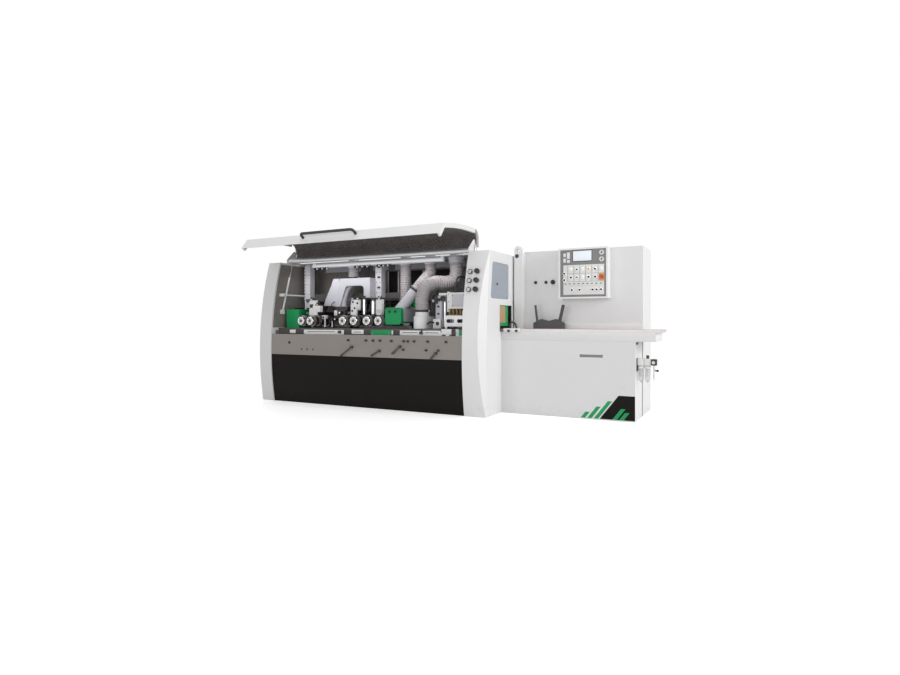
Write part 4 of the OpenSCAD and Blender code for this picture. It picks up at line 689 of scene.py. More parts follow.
fields = [(0.036, 0.964, 0.034, 0.966, 0.2, 1.4, "greyPlate", 0.6),
          (0.29, 0.69, 0.73, 0.95, 1.2, 3, "blackPlastic", 0.6),
          (0.302, 0.678, 0.742, 0.938, 2.6, 3.4, "screen", 0.3),
          (0.10, 0.93, 0.075, 0.665, 1.2, 2.2, "pale", 0.6),
          (0.11, 0.92, 0.253, 0.256, 2, 2.6, "greyPlate", 0),
          (0.825, 0.935, 0.345, 0.485, 2.2, 3.4, "amber", 0.5)]
fields += [(*button, 1.2, 4.2, "pale", 1) for button in panel["buttons"]]
fields += [(u - 0.0026, u + 0.0026, 0.335, 0.655, 2, 2.6, "carrier", 0) for u in panel["columns"]]
fields += [(0.192, 0.93, v - 0.0018, v + 0.0018, 2, 2.6, "carrier", 0) for v in panel["lines"]]
fields += [(0.12 + 0.09 * k, 0.17 + 0.09 * k, 0.285, 0.300, 2, 2.5, "carrier", 0) for k in range(9)]
board = Shape()
for u0, u1, v0, v1, low, high, finish, edge in fields:
    size = ((u1 - u0) * panel["w"], (v1 - v0) * panel["h"], high - low)
    board.block(moved(faceAt((u0 + u1) / 2, (v0 + v1) / 2), z=(low + high) / 2), size, finish, edge)
board.done("controlFace", "pale_plastic")

knobs = Shape()


def keyAt(u, v, tone, lamp=False):
    at = faceAt(u, v, 2) @ Matrix.Scale(panel["keyScale"], 4)
    knobs.turned(at, [(13.5, 0), (13.5, 2), (12.2, 3), (10.5, 3), (10.5, 1), (0, 1)], "chrome", 28)
    if lamp:
        knobs.turned(at, [(10.2, 1), (10.2, 7), (8.6, 9.5), (4, 10.8), (0, 11)], tone, 28)
    else:
        knobs.turned(at, [(10.2, 1), (10.2, 6), (9.4, 8), (0, 8)], tone, 28)
        knobs.block(spun(moved(at, z=9.5), panel["keyTurns"][(u * 50) % 2 > 1]), (5, 19.5, 9), tone)


for k, u in enumerate(panel["keys"]):
    keyAt(u, 0.575, panel["top"][k], k in (0, 2, 3))
    keyAt(u, 0.42, panel["middle"][k], k == 2)
for u in (0.28, 0.44, 0.70, 0.78, 0.87):
    keyAt(u, 0.17, "blackPlastic", u > 0.6)
for u, v, tone in ((0.12, 0.50, "blackPlastic"), (0.12, 0.37, "blackPlastic"), (0.88, 0.575, "pale")):
    keyAt(u, v, tone, tone == "pale")
for v in (0.89, 0.76):
    at = faceAt(0.88, v, 1.4)
    knobs.turned(at, [(25.5, 0), (25.5, 5), (24, 7.5), (21.5, 7.5), (20.5, 5.5), (0, 5.5)], "pale", 40)
    knobs.turned(moved(at, z=5.5), [(7.5, 0), (7.5, 3.5), (6, 4.5), (0, 4.5)], "blackPlastic", 24)
    for a in angles(12):
        knobs.block(polar(at, 17.2, a, 5.6), (4, 1.2, 0.8), "blackPlastic", 0)
    knobs.block(spun(moved(at, 6, 5, 6.2), 0.7), (18, 1.6, 1), "redPlastic", 0)
stopCollar = [(18.5, 0), (18.5, 3), (16.5, 5), (16.5, 11.5), (15, 12.2), (8.5, 12.2), (8.5, 1)]
knobs.turned(faceAt(0.88, 0.42, 2), stopCollar, "blackPlastic", 32)
for x in panel["switchHoles"]:
    at = front(x, 434, 1385)
    knobs.turned(at, [(17, 0), (17, 4), (13.5, 6), (13.5, 18), (12.5, 20), (0, 20)], "blackPlastic", 32)
    knobs.block(moved(at, z=23), (7, 26, 10), "blackPlastic", 1.8)
keys = knobs.done("controlKnobs", "black_plastic")

# tower gauges beside the regulator knobs
gauge = {"x": 1302, "knobX": 1382, "z": (1459.92, 1368.024, 1276.968), "hands": (140, 100, 170),
         "lobes": 10, "lobePoints": 60,
         "case": [(21.5, 0), (21.5, 18), (25.5, 19.5), (25.5, 22.5), (24.2, 24), (19.5, 24), (19, 21),
                  (0, 21)]}
for n, z in enumerate(gauge["z"]):
    dial = Shape()
    at = frontFrame(gauge["x"], z)
    dial.turned(at, gauge["case"], "handle", 40)
    dial.turned(moved(at, z=21), [(18.8, 0), (18.8, 0.8), (0, 0.8)], "pale", 40)
    for k in range(11):
        dial.block(polar(at, 15.5, math.radians(225 - 27 * k), 21.9), (3 if k % 5 else 4.6, 1, 0.4),
                   "blackPlastic", 0)
    dial.block(polar(at, 5, math.radians(gauge["hands"][n]), 22.3), (19, 1.3, 0.6), "blackPlastic", 0)
    dial.turned(moved(at, z=21.8), [(3, 0), (3, 1.4), (0, 1.6)], "blackPlastic", 16)
    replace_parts(dial.done(f"towerGauge{n + 1}", "bright_chrome", sharp=30), "dials")
    knob = Shape()
    at = frontFrame(gauge["knobX"], z)
    grip = [(25.5 + 1.5 * math.cos(gauge["lobes"] * a), a) for a in angles(gauge["lobePoints"])]
    knob.turned(at, [(12.5, 0.8), (12.5, 11), (10, 11)], "chrome")
    knob.prism(at, [(r * math.cos(a), r * math.sin(a)) for r, a in grip], 10.5, 40, "blackPlastic", 1.6)
    knob.turned(moved(at, z=39.8), [(20.5, 0), (19.5, 2), (15.5, 2.8), (14.5, 1.2), (0, 1.2)],
                "blackPlastic")
    made = knob.done(f"regulatorKnob{n + 1}", "black_plastic", f"regulator_knob_{n + 1}", 30)
    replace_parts(made, f"regulator_knob_{n + 1}")
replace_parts(keys, "dials")
print("controls and gauges")

# dark linings of the two side walls, cut round the mouths that the stock passes
lining = {"thick": 2.5, "low": 885, "high": 1655, "edge": 22, "back": 345, "mouth": (-48, 300, 1130),
          "steps": 16}
low, high, back = lining["low"], lining["high"], lining["back"]
mouthFront, mouthBack, mouthTop = lining["mouth"]
heights = [low + (high - low) * k / lining["steps"] for k in range(lining["steps"] + 1)]
wallLine = [(frontY(z) + lining["edge"], z) for z in heights] + [
    (back, high), (back, low), (mouthBack, low), (mouthBack, mouthTop), (mouthFront, mouthTop),
    (mouthFront, low)]
for name, x, out in (("columnLining", body["left"], 1), ("towerLining", body["right"], -1)):
    sheet = Shape()
    at = place((x, 0, 0), (out, 0, 0), (0, 1, 0))
    sheet.prism(at, [(y, z * out) for y, z in wallLine], 0, lining["thick"], "wall")
    sheet.done(name, "dark_paint")

# covers on the two posts, with the rack teeth on the left one
posts = {"x": (-1178.888, -98.042), "half": 40, "front": 45, "back": 130, "z": (1062, 1668), "sheet": 2.2,
         "clips": ((1120, 1210), (1100, 1190, 1360, 1480, 1600)), "teeth": 10, "firstTooth": 1247,
         "toothPitch": 40, "screws": (1080, 1300, 1420, 1540, 1650)}
covers = Shape()
for x, clips in zip(posts["x"], posts["clips"]):
    x0, x1, y0, y1 = x - posts["half"], x + posts["half"], posts["front"], posts["back"]
    covers.sleeve(Matrix(), [(x0, y1), (x0, y0), (x1, y0), (x1, y1)], posts["sheet"], *posts["z"], "post")
    for z in clips:
        covers.block(spot(x + 12, y0 - 9, z), (34, 14, 20), "carrier", 2)
for k in range(posts["teeth"]):
    at = spot(posts["x"][0] - 49, 87.5, posts["firstTooth"] + posts["toothPitch"] * k)
    covers.block(at, (13.5, 88.5, 17.5), "post", 3)
covers.done("postCovers", "light_paint")
postSpots = [(x + s, posts["front"] - 2.2, z) for x in posts["x"] for s in (-26, 26)
             for z in posts["screws"]]
screws("postScrews", postSpots, 5.5, 4, "carrier", None)

# light band and frames round the openings in the back wall; each opening is closed by a flat near-black
# sheet, painted shade
backWall = {"face": 350, "header": (1592, 1668), "bands": ((-1126, -560), (-380, -145), (-50, 1235)),
            "bar": 14,
            "recesses": ((-146, -14, 1262, 1572), (128, 336, 1395, 1572), (514, 706, 1395, 1572))}
band = Shape()
bar, face = backWall["bar"], backWall["face"]
for x0, x1 in backWall["bands"]:
    band.box(x0, x1, face - 16, face, *backWall["header"], "duct", 3)
band.box(4, 98, face - 1.5, face, 1320, 1586, "wall", 0.4)
for x0, x1, z0, z1 in backWall["recesses"]:
    # painted shade: a flat near-black sheet where the opening would be in shade
    band.box(x0, x1, face - 2, face, z0, z1, "recess", 0.5)
    band.box(x0 - bar, x1 + bar, face - 12, face, z0 - bar, z0, "white", 3)
    band.box(x1, x1 + bar, face - 12, face, z0, z1, "white", 3)
    band.box(x0 - bar, x0, face - 12, face, z0, z1, "duct", 3)
band.done("wallFrames", "duct_paint")

# collars where the dust pipes come through the roof
pipesUp = ((hoodX, dust["crest"]), (dust["elbowEnd"], dust["crest"]), (dust["mainEnd"], dust["mainCrest"]),
           (archX, dust["crest"]))
collar = [(1, 0), (5, -4), (10, 2), (10, 30), (19, 38), (19, 64), (2, 64)]  # out from the hose, up
collars = Shape()
for x, crest in pipesUp:
    collars.ring(spot(x, dust["y"], 1606), [(crest + r, h) for r, h in collar], "duct", 48)
collars.done("roofCollars", "duct_paint")

# tray under the roof edge with its rows of pulleys
tray = {"x": (-1001, 825), "y": (-30, -8), "z": (1618, 1670),
        "pulleys": ((-985, -790, 6), (-375, -160, 7), (-55, 125, 7)),
        "pulley": [(9.5, 0), (10.5, 1), (8.5, 4), (10.5, 7), (9.5, 8), (0, 8)]}
rack = Shape()
(y0, y1), (z0, z1) = tray["y"], tray["z"]
rack.sleeve(rightward(tray["x"][0]), [(y1, z1), (y1, z0), (y0, z0), (y0, z1)], -2, 0,
            tray["x"][1] - tray["x"][0], "light")
for x0, x1, count in tray["pulleys"]:
    for k in range(count):
        x = x0 + (x1 - x0) * k / (count - 1)
        rack.block(spot(x, y0 - 6, z0 - 4), (11, 18, 34), "blackPlastic", 2)
        rack.turned(front(x, y0 - 15, z0 - 12), tray["pulley"], "pale" if k % 2 else "blackPlastic", 20)
rack.done("roofTray", "light_paint")
print("linings, posts and roof tray")

# feed rollers: chrome end caps and the teeth of the drive wheels
rollers = {"x": (-998.896, -860.922, -379.056, -222.01, -39.932, 118.008), "z": 965, "radius": 60,
           "capFront": -280, "first": -270, "pitch": 92, "width": 50, "teeth": 26, "wheels": 5, "rows": 3,
           "boltRing": 39.5, "sunk": 0.6,
           "cap": [(46.2, -8), (48.5, -7), (49, 1), (47, 4.2), (33.5, 4.2), (31.5, 2), (30.5, 0.3),
                   (46.2, 0.3)]}
reach = rollers["radius"] - rollers["sunk"]
for n, x in enumerate(rollers["x"]):
    rider = f"feed_roller_{n + 1}"
    cap = Shape()
    at = front(x, rollers["capFront"], rollers["z"])
    cap.ring(at, rollers["cap"], "chrome", 48)
    cap.ring(at, [(30.2, 0.3), (30.2, 1.2), (19, 2), (19, 0.3)], "satin", 40)
    cap.ring(at, [(16.2, 0.3), (18.5, 0.3), (18.5, 5.5), (16.2, 6.5)], "brass", 32)
    cap.done(f"rollerCap{n + 1}", "bright_chrome", rider, 30)
    bolts = [polar(at, rollers["boltRing"], a, 4.2).translation for a in angles(6)]
    screws(f"rollerBolts{n + 1}", bolts, 4.2, 3, "carrier", "dark_iron", 6, rider)
    points, ways = [], []
    for wheel in range(rollers["wheels"]):
        for row in range(rollers["rows"]):
            inWheel = rollers["width"] * (row + 0.5) / rollers["rows"]
            y = rollers["first"] + wheel * rollers["pitch"] + inWheel
            for k in range(rollers["teeth"]):
                a = tau * (k + row / rollers["rows"]) / rollers["teeth"]
                points.append((x + reach * math.cos(a), y, rollers["z"] + reach * math.sin(a)))
                ways.append((math.cos(a), 0, math.sin(a)))
    screws(f"rollerTeeth{n + 1}", points, 6.2, 3.5, sides=4, rider=rider, ways=ways)
print("feed rollers:", len(rollers["x"]))

# press heads on the carriers, in front of the beam's arms: white bodies, chrome cylinders, black valves
boltHead = [(12.5, -2), (12.5, 3), (10, 5), (6, 5), (5, 2), (0, 2)]
press = {"pairs": (-929.909, -300.533, 39.038), "heads": (
    {"boxes": [(-935, -828, -208, -174, 1105, 1212, "white"), (-862, -752, -230, -174, 1070, 1146, "white"),
               (-925, -842, -220, -205, 1030, 1108, "white"), (-845, -790, -248, -218, 1030, 1106, "white"),
               (-922, -872, -214, -198, 1122, 1164, "carrier", 2)],
     "valves": [(-900, -190, 1212), (-800, -202, 1146)], "corners": (-927, 91, -208, 1113, 91)},
    {"boxes": [(-312, -188, -208, -174, 1088, 1210, "white"),
               (-292, -212, -238, -205, 1030, 1150, "white")],
     "turned": [(at, "blackPlastic", 24, *boltHead)
                for at in ((-282, -208, 1182), (-218, -208, 1168), (-234, -238, 1110), (-268, -238, 1080))],
     "valves": [(-288, -191, 1210), (-214, -191, 1210)], "corners": (-304, 108, -208, 1098, 102)},
    {"boxes": [(-12, 150, -246, -174, 1160, 1184, "carrier", 3),
               (-12, 90, -228, -205, 1042, 1163, "carrier", 3),
               (74, 152, -262, -207, 1032, 1206, "white"), (84, 142, -265, -260, 1048, 1094, "duct", 1.5)],
     "tubes": [(34, -250, 1032, 1186, 20.5, "chrome"), (34, -250, 1028, 1042, 23.5, "carrier")],
     "valves": [(112, -232, 1206), (12, -204, 1184)], "corners": (82, 62, -262, 1040, 158)})}


def valve(shape, x, y, z):
    shape.box(x - 28, x + 28, y - 18, y + 18, z, z + 22, "blackPlastic", 3)
    for s in (-16, 16):
        shape.tube(x + s, y, z + 20, z + 36, 7.5, "blackPlastic")
        shape.tube(x + s, y, z + 34, z + 40, 5.5, "bluePlastic")
    shape.box(x - 10, x + 10, y - 26, y - 16, z + 4, z + 18, "pale", 2)


for n, parts in enumerate(press["heads"]):
    pressHead = Shape().fit(parts)
    for at in parts["valves"]:
        valve(pressHead, *at)
    pressHead.done(f"pressHead{n + 1}", "white_paint", f"roller_carrier_{n + 1}")
for n, parts in enumerate(press["heads"]):
    x, w, y, z, h = parts["corners"]
    corners = [(x + w * i, y, z + h * j) for i in (0, 1) for j in (0, 1)]
    screws(f"pressHeadScrews{n + 1}", corners, 4.8, 4, "darkIron", "dark_iron", 6,
           f"roller_carrier_{n + 1}")
# chrome cylinder on its own arm from the right post
stand = {"boxes": [(-178, -108, -190, 42.8, 1212, 1234, "carrier", 3)],
         "tubes": [(-150, -163, 1036, 1213, 22.5, "chrome"), (-150, -163, 1233, 1254, 14, "blackPlastic")]}
Shape().fit(stand).done("postCylinder", "bright_chrome")

# carriers: front plates with bolts, riding with each pair of rollers
plate = {"half": 56, "y": (-204.5, -200), "z": (1044, 1071), "middle": 1057.5, "bolts": (-44, -26, 26, 44)}
for n, x in enumerate(press["pairs"]):
    bar = Shape()
    bar.box(x - plate["half"], x + plate["half"], *plate["y"], *plate["z"], "darkIron", 2)
    bar.turned(front(x, plate["y"][0], plate["middle"]), [(11, 0), (11, 4), (8, 6), (0, 6)], "brass", 24)
    bar.done(f"carrierPlate{n + 1}", "dark_iron", f"roller_carrier_{n + 1}")
    bolts = [(x + s, plate["y"][0], plate["middle"]) for s in plate["bolts"]]
    screws(f"carrierBolts{n + 1}", bolts, 5, 4, rider=f"roller_carrier_{n + 1}")
print("press heads and carriers")

# dark slide under the arch, with its locking knobs and scale
slide = {"x": (-663.4, -473.4), "y": (-60, 205), "z": (910, 1137), "ribs": 5, "firstRib": 962,
         "ribPitch": 27, "knobs": ((-535, 1062, 24), (-605, 985, 19)),
         "pipes": [(5, "blackPlastic", (-655, -66, 1100), (-665, -100, 1130), (-672, -105, 1160),
                    (-668, -75, 1190), (-660, -63, 1195))]}
block = Shape()
(x0, x1), (y0, y1) = slide["x"], slide["y"]
block.sleeve(Matrix(), [(x0, y0), (x1, y0), (x1, y1), (x0, y1)], 2, *slide["z"], "carrier", True)
block.box(x0 + 12, x1 - 12, y0 - 30, y0 - 1, 952, 1098, "darkIron", 6)
for k in range(slide["ribs"]):
    z = slide["firstRib"] + slide["ribPitch"] * k
    block.box(x0 + 20, x1 - 20, y0 - 38, y0 - 28, z, z + 12, "carrier", 3)
block.box(x0 + 30, x0 + 75, y0 - 52, y0 - 30, 1030, 1090, "white")
block.box(x1 - 64, x1 - 20, y0 - 50, y0 - 30, 965, 1000, "duct")
for x, z, r in slide["knobs"]:
    at = front(x, y0 - 30, z)
    block.turned(at, [(10, 0), (10, 22), (r, 24), (r, 40), (r * 0.86, 44), (0, 44)], "blackPlastic", 28)
    block.turned(moved(at, z=44), [(r * 0.5, 0), (r * 0.45, 2), (0, 2)], "chrome", 20)
block.fit(slide).done("archSlide", "dark_paint")
finger = Shape()
for x, y, h, tone in ((-738, -150, 995, "white"), (-710, -50, 970, "carrier")):
    finger.tube(x, y, 880, h, 9, "chrome")
    finger.box(x - 26, x + 26, y - 28, y + 22, h - 8, h + 36, tone)
    finger.turned(front(x, y - 28, h + 12), [(11, 0), (11, 12), (8, 15), (0, 15)], "blackPlastic", 24)
    finger.turned(spot(x, y, 880), [(22, 0), (22, 8), (12, 12), (9, 12)], "carrier", 24)
finger.done("pressFingers", "white_paint")

# sleeve and fittings of the green hood, white cover of the round hood
knobGrip = ((8, 0), (8, 6), (13, 8), (13, 16), (10, 19), (0, 19))
greenHood = {"x": (227, 433), "foot": 956, "top": 1080, "round": 30, "aside": 0.24, "depth": (-138, 246),
             "boxes": [(240, 420, -302.2, -300, 1091.5, 1095.5, "blackPlastic", 0.8)],
             "turned": [((x, -300, 1066), "blackPlastic", 24, *knobGrip) for x in (362, 285)]}
(x0, x1), r = greenHood["x"], greenHood["round"]
shoulders = arc(x1 - r, greenHood["top"], r, 0, math.pi / 2, 6)
shoulders += arc(x0 + r, greenHood["top"], r, math.pi / 2, math.pi / 2, 6)
sleeve = Shape()
path = [(x1, greenHood["foot"])] + shoulders + [(x0, greenHood["foot"])]
sleeve.sleeve(front(greenHood["aside"]), path, 2, *greenHood["depth"], "duct")
sleeve.fit(greenHood).done("greenHoodSleeve", "duct_paint")
roundHood = {"x": 660.07, "y": -250, "half": 80, "back": -66, "z": (880.5, 1010.5), "lid": (1010.2, 1012.2),
             "lap": 1.025,
             "neck": [(72.2, 1012.5), (80, 1012.5), (77.5, 1020), (74.2, 1030), (74.2, 1056), (72.2, 1057)]}
cover = Shape()
cx, cy, half, back = (roundHood[key] for key in ("x", "y", "half", "back"))
bow = arc(cx, cy, half, math.pi, math.pi, 24)
lid = arc(cx, cy, half * roundHood["lap"], math.pi, math.pi, 24)
cover.sleeve(Matrix(), [(cx - half, back)] + bow + [(cx + half, back)], 2, *roundHood["z"], "white")
cover.prism(Matrix(), [(cx - half - 2, back)] + lid + [(cx + half + 2, back)], *roundHood["lid"], "white")
cover.ring(spot(cx, -230), roundHood["neck"], "white", 48)
cover.done("roundHoodCover", "white_paint")
print("dust hood covers")

# arch: wide slanting left leg and the inner pipe, brush in the outfeed mouth
arch = {"y": (-62.2, 122.2), "pipeRadius": 31,
        "leg": ((-684, 1473.5), (-714, 1400), (-803, 1225), (-834, 1146), (-600, 1146), (-608, 1250),
                (-600, 1473.5)),
        "pipe": ((-470, 30, 1405), (-505, 10, 1360), (-545, 0, 1280), (-568, 0, 1200), (-570, 0, 1140))}
leg = Shape()
leg.prism(front(), arch["leg"], -arch["y"][1], -arch["y"][0], "duct", 4)
leg.pipe(smoothPath(arch["pipe"], 6), arch["pipeRadius"], "duct", 24)
leg.done("archLeg", "duct_paint")
brush = {"x": (-1323, -1312), "y": (-46, 298), "z": (1110, 1129.5), "rows": 3, "count": 44}
holder = Shape()
holder.box(*brush["x"], *brush["y"], *brush["z"], "carrier", 2)
holder.done("mouthBrushHolder", "dark_paint")
y0, run = brush["y"][0] + 6, brush["y"][1] - brush["y"][0] - 12
tufts = [(brush["x"][0] + 2.5 + 3 * row, y0 + run * (k + row / 3) / brush["count"], brush["z"][0] + 1)
         for row in range(brush["rows"]) for k in range(brush["count"])]
screws("mouthBristles", tufts, 3.6, 44, "blackPlastic", "black_plastic", 4, ways=((0, 0, -1),))

# side rail: light sleeve and end block
rail = {"x": -1255, "y": (-298, 128), "z": 1280,
        "boxes": [(-1309.5, -1236.8, -318.5, -298.5, 1261.8, 1298.2, "white", 3)]}
trim = Shape()
run = rail["y"][1] - rail["y"][0]
tubeLine = [(9.2, 2), (11, 2), (11.5, 6), (11.5, run - 4), (9.2, run - 2)]
trim.ring(front(rail["x"], rail["y"][1], rail["z"]), tubeLine, "white", 24)
trim.fit(rail).done("sideRailTrim", "white_paint")

# infeed side: pressure box above the shoe, its springs, and the clamp column beside the round hood
pressure = {
    "boxes": [
        (1000, 1198, -246, -120, 1092, 1262, "white", 6),
        (1030, 1182, -248.5, -244.5, 1112, 1242, "duct", 3),
        (966, 999.5, -236, -140, 1060, 1272, "white"), (1060, 1120, -121, 131, 1205, 1245, "carrier", 3),
        (985, 1137, -247, -218, 1020, 1026, "tan", 2), (1150, 1196, -246, -220, 1020, 1070, "white"),
        (788, 884, -225, -125, 880.5, 985, "white", 6), (800, 874, -186, -118, 984, 1166, "duct", 5),
        (785, 924, -190, -110, 1165, 1236, "duct", 6),
        (770, 830, -214, -188, 1150, 1240, "blackPlastic", 6),
        (850, 945, -206, -110, 1236, 1262, "white")],
    "tubes": [(900, -150, 880.5, 1200, 18.5, "chrome"), (900, -150, 880.5, 900, 26, "carrier")],
    "pipes": [
        *((8, "carrier", (x, -165, 1258), (x, -165, 1340), (x, -145, 1400), (x, -60, 1440), (x, 349, 1440))
          for x in (1036, 1160)),
        (8.5, "blackPlastic", (812, -200, 1238), (800, -222, 1246), (786, -236, 1222), (784, -240, 1150),
         (790, -236, 1070)),
        (8.5, "blackPlastic", (800, -222, 945), (782, -250, 952), (765, -268, 944), (752, -285, 925)),
        *((7.5, "blackPlastic", (806 + bow, -150, 1234), (804 + bow, -158, lift - 20), (832, -166, lift),
           (866 - bow, -172, lift - 22), (868 - bow, -182, 1240))
          for lift, bow in ((1300, 0), (1282, 22)))],
    "turned": [
        ((790, -214, 1178), "white", 24, (10, 0), (15, 6), (16.5, 13), (15, 20), (10, 25.5), (0, 28)),
        ((846, -225, 935), "carrier", 24, (20, 0), (20, 6), (12, 9), (12, 20), (9, 23), (0, 23)),
        *((at, "blackPlastic", 28, (r * 0.6, -2), (r * 0.6, 8), (r, 10), (r, 22), (r * 0.85, 26),
           (r * 0.4, 26), (r * 0.3, 22), (0, 22))
          for at, r in (((900, -190, 1202), 31), ((850, -190, 1190), 17), ((842, -186, 1118), 10),
                        ((842, -186, 1040), 10)))],
    "springs": (998, 1040, 1082, 1124), "springRadius": 11.5, "springY": -232.5, "springFoot": 1022.5,
    "springRise": 70, "coils": 5}
side = Shape().fit(pressure)
for x in pressure["springs"]:
    turns = [(k * math.pi / 6, k / (12 * pressure["coils"])) for k in range(12 * pressure["coils"] + 1)]
    r, y, z, rise = (pressure[key] for key in ("springRadius", "springY", "springFoot", "springRise"))
    side.pipe([(x + r * math.cos(a), y + r * math.sin(a), z + rise * u) for a, u in turns], 3, "brass", 8)
side.done("infeedPressure", "white_paint")
boxScrews = [(x, -248.5, z) for x in (1040, 1172) for z in (1122, 1232)]
boxScrews += [(983, -236, z) for z in (1085, 1165, 1245)]
screws("infeedPressureScrews", boxScrews, 5, 4, "carrier", "dark_iron")

# covers along the bed's front edge, with their clamping slots
edge = {"y": (-397.2, -393.5), "z": (810, 862), "knobs": (-318, 749),
        "screws": (-835, -600, -380, 130, 340, 495, 715, 780, 960),
        "covers": ((-852, -268, "white"), (104, 366, "green"), (479, 737, "white"), (761, 975, "white")),
        "slots": ((-795, -395), (-125, -30), (510, 700), (790, 950)),
        "gaps": ((-1248, -1073), (-977, -855), (-265, -163), (7, 101), (395, 476), (1103, 1147)),
        "blocks": ((-160, 4, 818, 866, "white"), (-1070, -980, 820, 860, "white"),
                   (984, 1100, 822, 879, "white"), (1150, 1186, 816, 879, "duct"),
                   (1187, 1222, 812, 868, "green"), (372, 392, 815, 860, "white")),
        "knob": [(17, 0), (17, 6), (12, 10), (12, 20), (16, 22), (16, 32), (13, 35), (0, 35)]}
strip = Shape()
y0, y1 = edge["y"]
for x0, x1, tone in edge["covers"]:
    strip.box(x0, x1, y0, y1, *edge["z"], tone, 2)
for x0, x1 in edge["slots"]:
    strip.box(x0, x1, y0 - 0.6, y0 + 1, 836, 843, "carrier", 0.4)
for x0, x1, z0, z1, tone in edge["blocks"]:
    strip.box(x0, x1, -396.8, -378.5, z0, z1, tone, 3)
for x0, x1 in edge["gaps"]:
    strip.box(x0, x1, -396.2, y1, 808, 862, "carrier", 0.6)
for x in edge["knobs"]:
    strip.turned(front(x, y1, 838), edge["knob"], "carrier", 28)
strip.done("edgeCovers", "white_paint")
screws("edgeScrews", [(x, y0, 824) for x in edge["screws"]], 5.2, 4)
print("bed edge and infeed side")

# plain plates, plugs and the painted corner on the fronts
plain = {"plugs": (-841, -759, -672), "plug": [(10.5, 0), (10.5, 3), (8, 5), (4.5, 5), (3.5, 3), (0, 3)],
         "boxes": [(2319, 2557, -1.4, 0.4, 602, 639, "satin", 0.4),
                   (2324, 2552, -1.9, -1.2, 606, 635, "greyPlate", 0.3)]}
plates = Shape()
for x in plain["plugs"]:
    plates.turned(frontFrame(x, 635, 12), plain["plug"], "carrier", 20)
plates.turned(frontFrame(-1031, 709, 12), [(17, 0), (17, 4), (13, 7), (0, 7)], "blackPlastic", 28)
plates.fit(plain).done("frontPlates", "pale_plastic")
screws("plateRivets", [(x, -1.4, z) for x in (2321.5, 2554.5) for z in (604.5, 636.5)], 1.8, 1.2, sides=12)
corner = {"right": 2853.5, "low": 12, "high": 246, "foot": 2520, "lean": 180, "stripe": 42, "gap": 22,
          "count": 3, "drop": 58, "inner": ((2640, 120), (2704, 85)), "film": 0.8}
design = Shape()
low, high, foot = corner["low"], corner["high"], corner["foot"]
field = [(foot, low), (corner["right"], low), (corner["right"], high), (foot + corner["lean"], high)]
design.prism(front(), field, 0, corner["film"], "black")
step = corner["stripe"] + corner["gap"]
stripes = [(foot - (k + 1) * step + corner["gap"] * 0.3, high - corner["drop"] * (k + 1), 0)
           for k in range(corner["count"])]
for x, top, out in stripes + [(x, top, 0.6) for x, top in corner["inner"]]:
    rise, end = corner["lean"] * (top - low) / (high - low), x + corner["stripe"]
    outline = [(x, low), (end, low), (end + rise, top), (x + rise, top)]
    design.prism(front(), outline, out, out + corner["film"], "green")
design.done("cornerStripes", "green_paint")

# infeed end: guard insert, guide plate, column fittings, sheets of the table beam and the base's end
infeed = {
    "boxes": [
        (1519, 1700, -17, 0, 846, 887.5, "white", 3), (1500, 1518.5, -15, 0, 852, 872, "redPlastic", 2),
        (1508.8, 1510.4, 345, 372, 1020, 1200, "blackPlastic", 0.4),
        (1491, 3036.5, -1.6, 0.4, 769, 851.5, "light", 0.5),
        (3036.6, 3038.4, 0.5, 433.5, 769, 851.5, "light", 0.5),
        (1602, 2853.5, 422.4, 434, 880.5, 941.2, "cabinet", 1),
        (2853.6, 2855.6, 55, 165, 735, 757, "blackPlastic", 0.6),
        (2852, 2853.8, 184.5, 385, 4, 766, "light", 0.5)],
    "tubes": [(1476, y, 1148, 1172, 5.5, "chrome") for y in (-30, 25, 80)],
    "pipes": [(9.5, "blackPlastic", (1497, 215, 882), (1497, 222, 925), (1505, 240, 948), (1530, 258, 945),
               (1552, 262, 915), (1556, 262, 882))],
    "turned": [
        *(((x, -17, 860), "blackPlastic", 24, (7, 0), (7, 10), (13.5, 12), (13.5, 24), (11, 27), (0, 27))
          for x in (1582, 1668)),
        ((1542, 320.2, 1675), "bluePlastic", 32, (22, 0), (22, 3), (19, 6), (14, 6), (12, 2.5), (0, 2.5))]}
endTrim = Shape().fit(infeed)
insert = [(-62, 945), (120, 945)] + arc(85, 1085, 35, 0, math.pi / 2, 6) + [(-62, 1120)]
endTrim.prism(rightward(1482), insert, 0, 4.5, "tan", 1.2)
endTrim.turned(rightward(1483.6, -101, 1347), [(12, 0), (12, 4), (9, 8), (0, 9)], "bluePlastic", 24)
endTrim.done("infeedTrim", "light_paint")
screws("beamScrews", [(x, -1.6, 812) for x in (1752, 2006, 2620)], 6, 3)

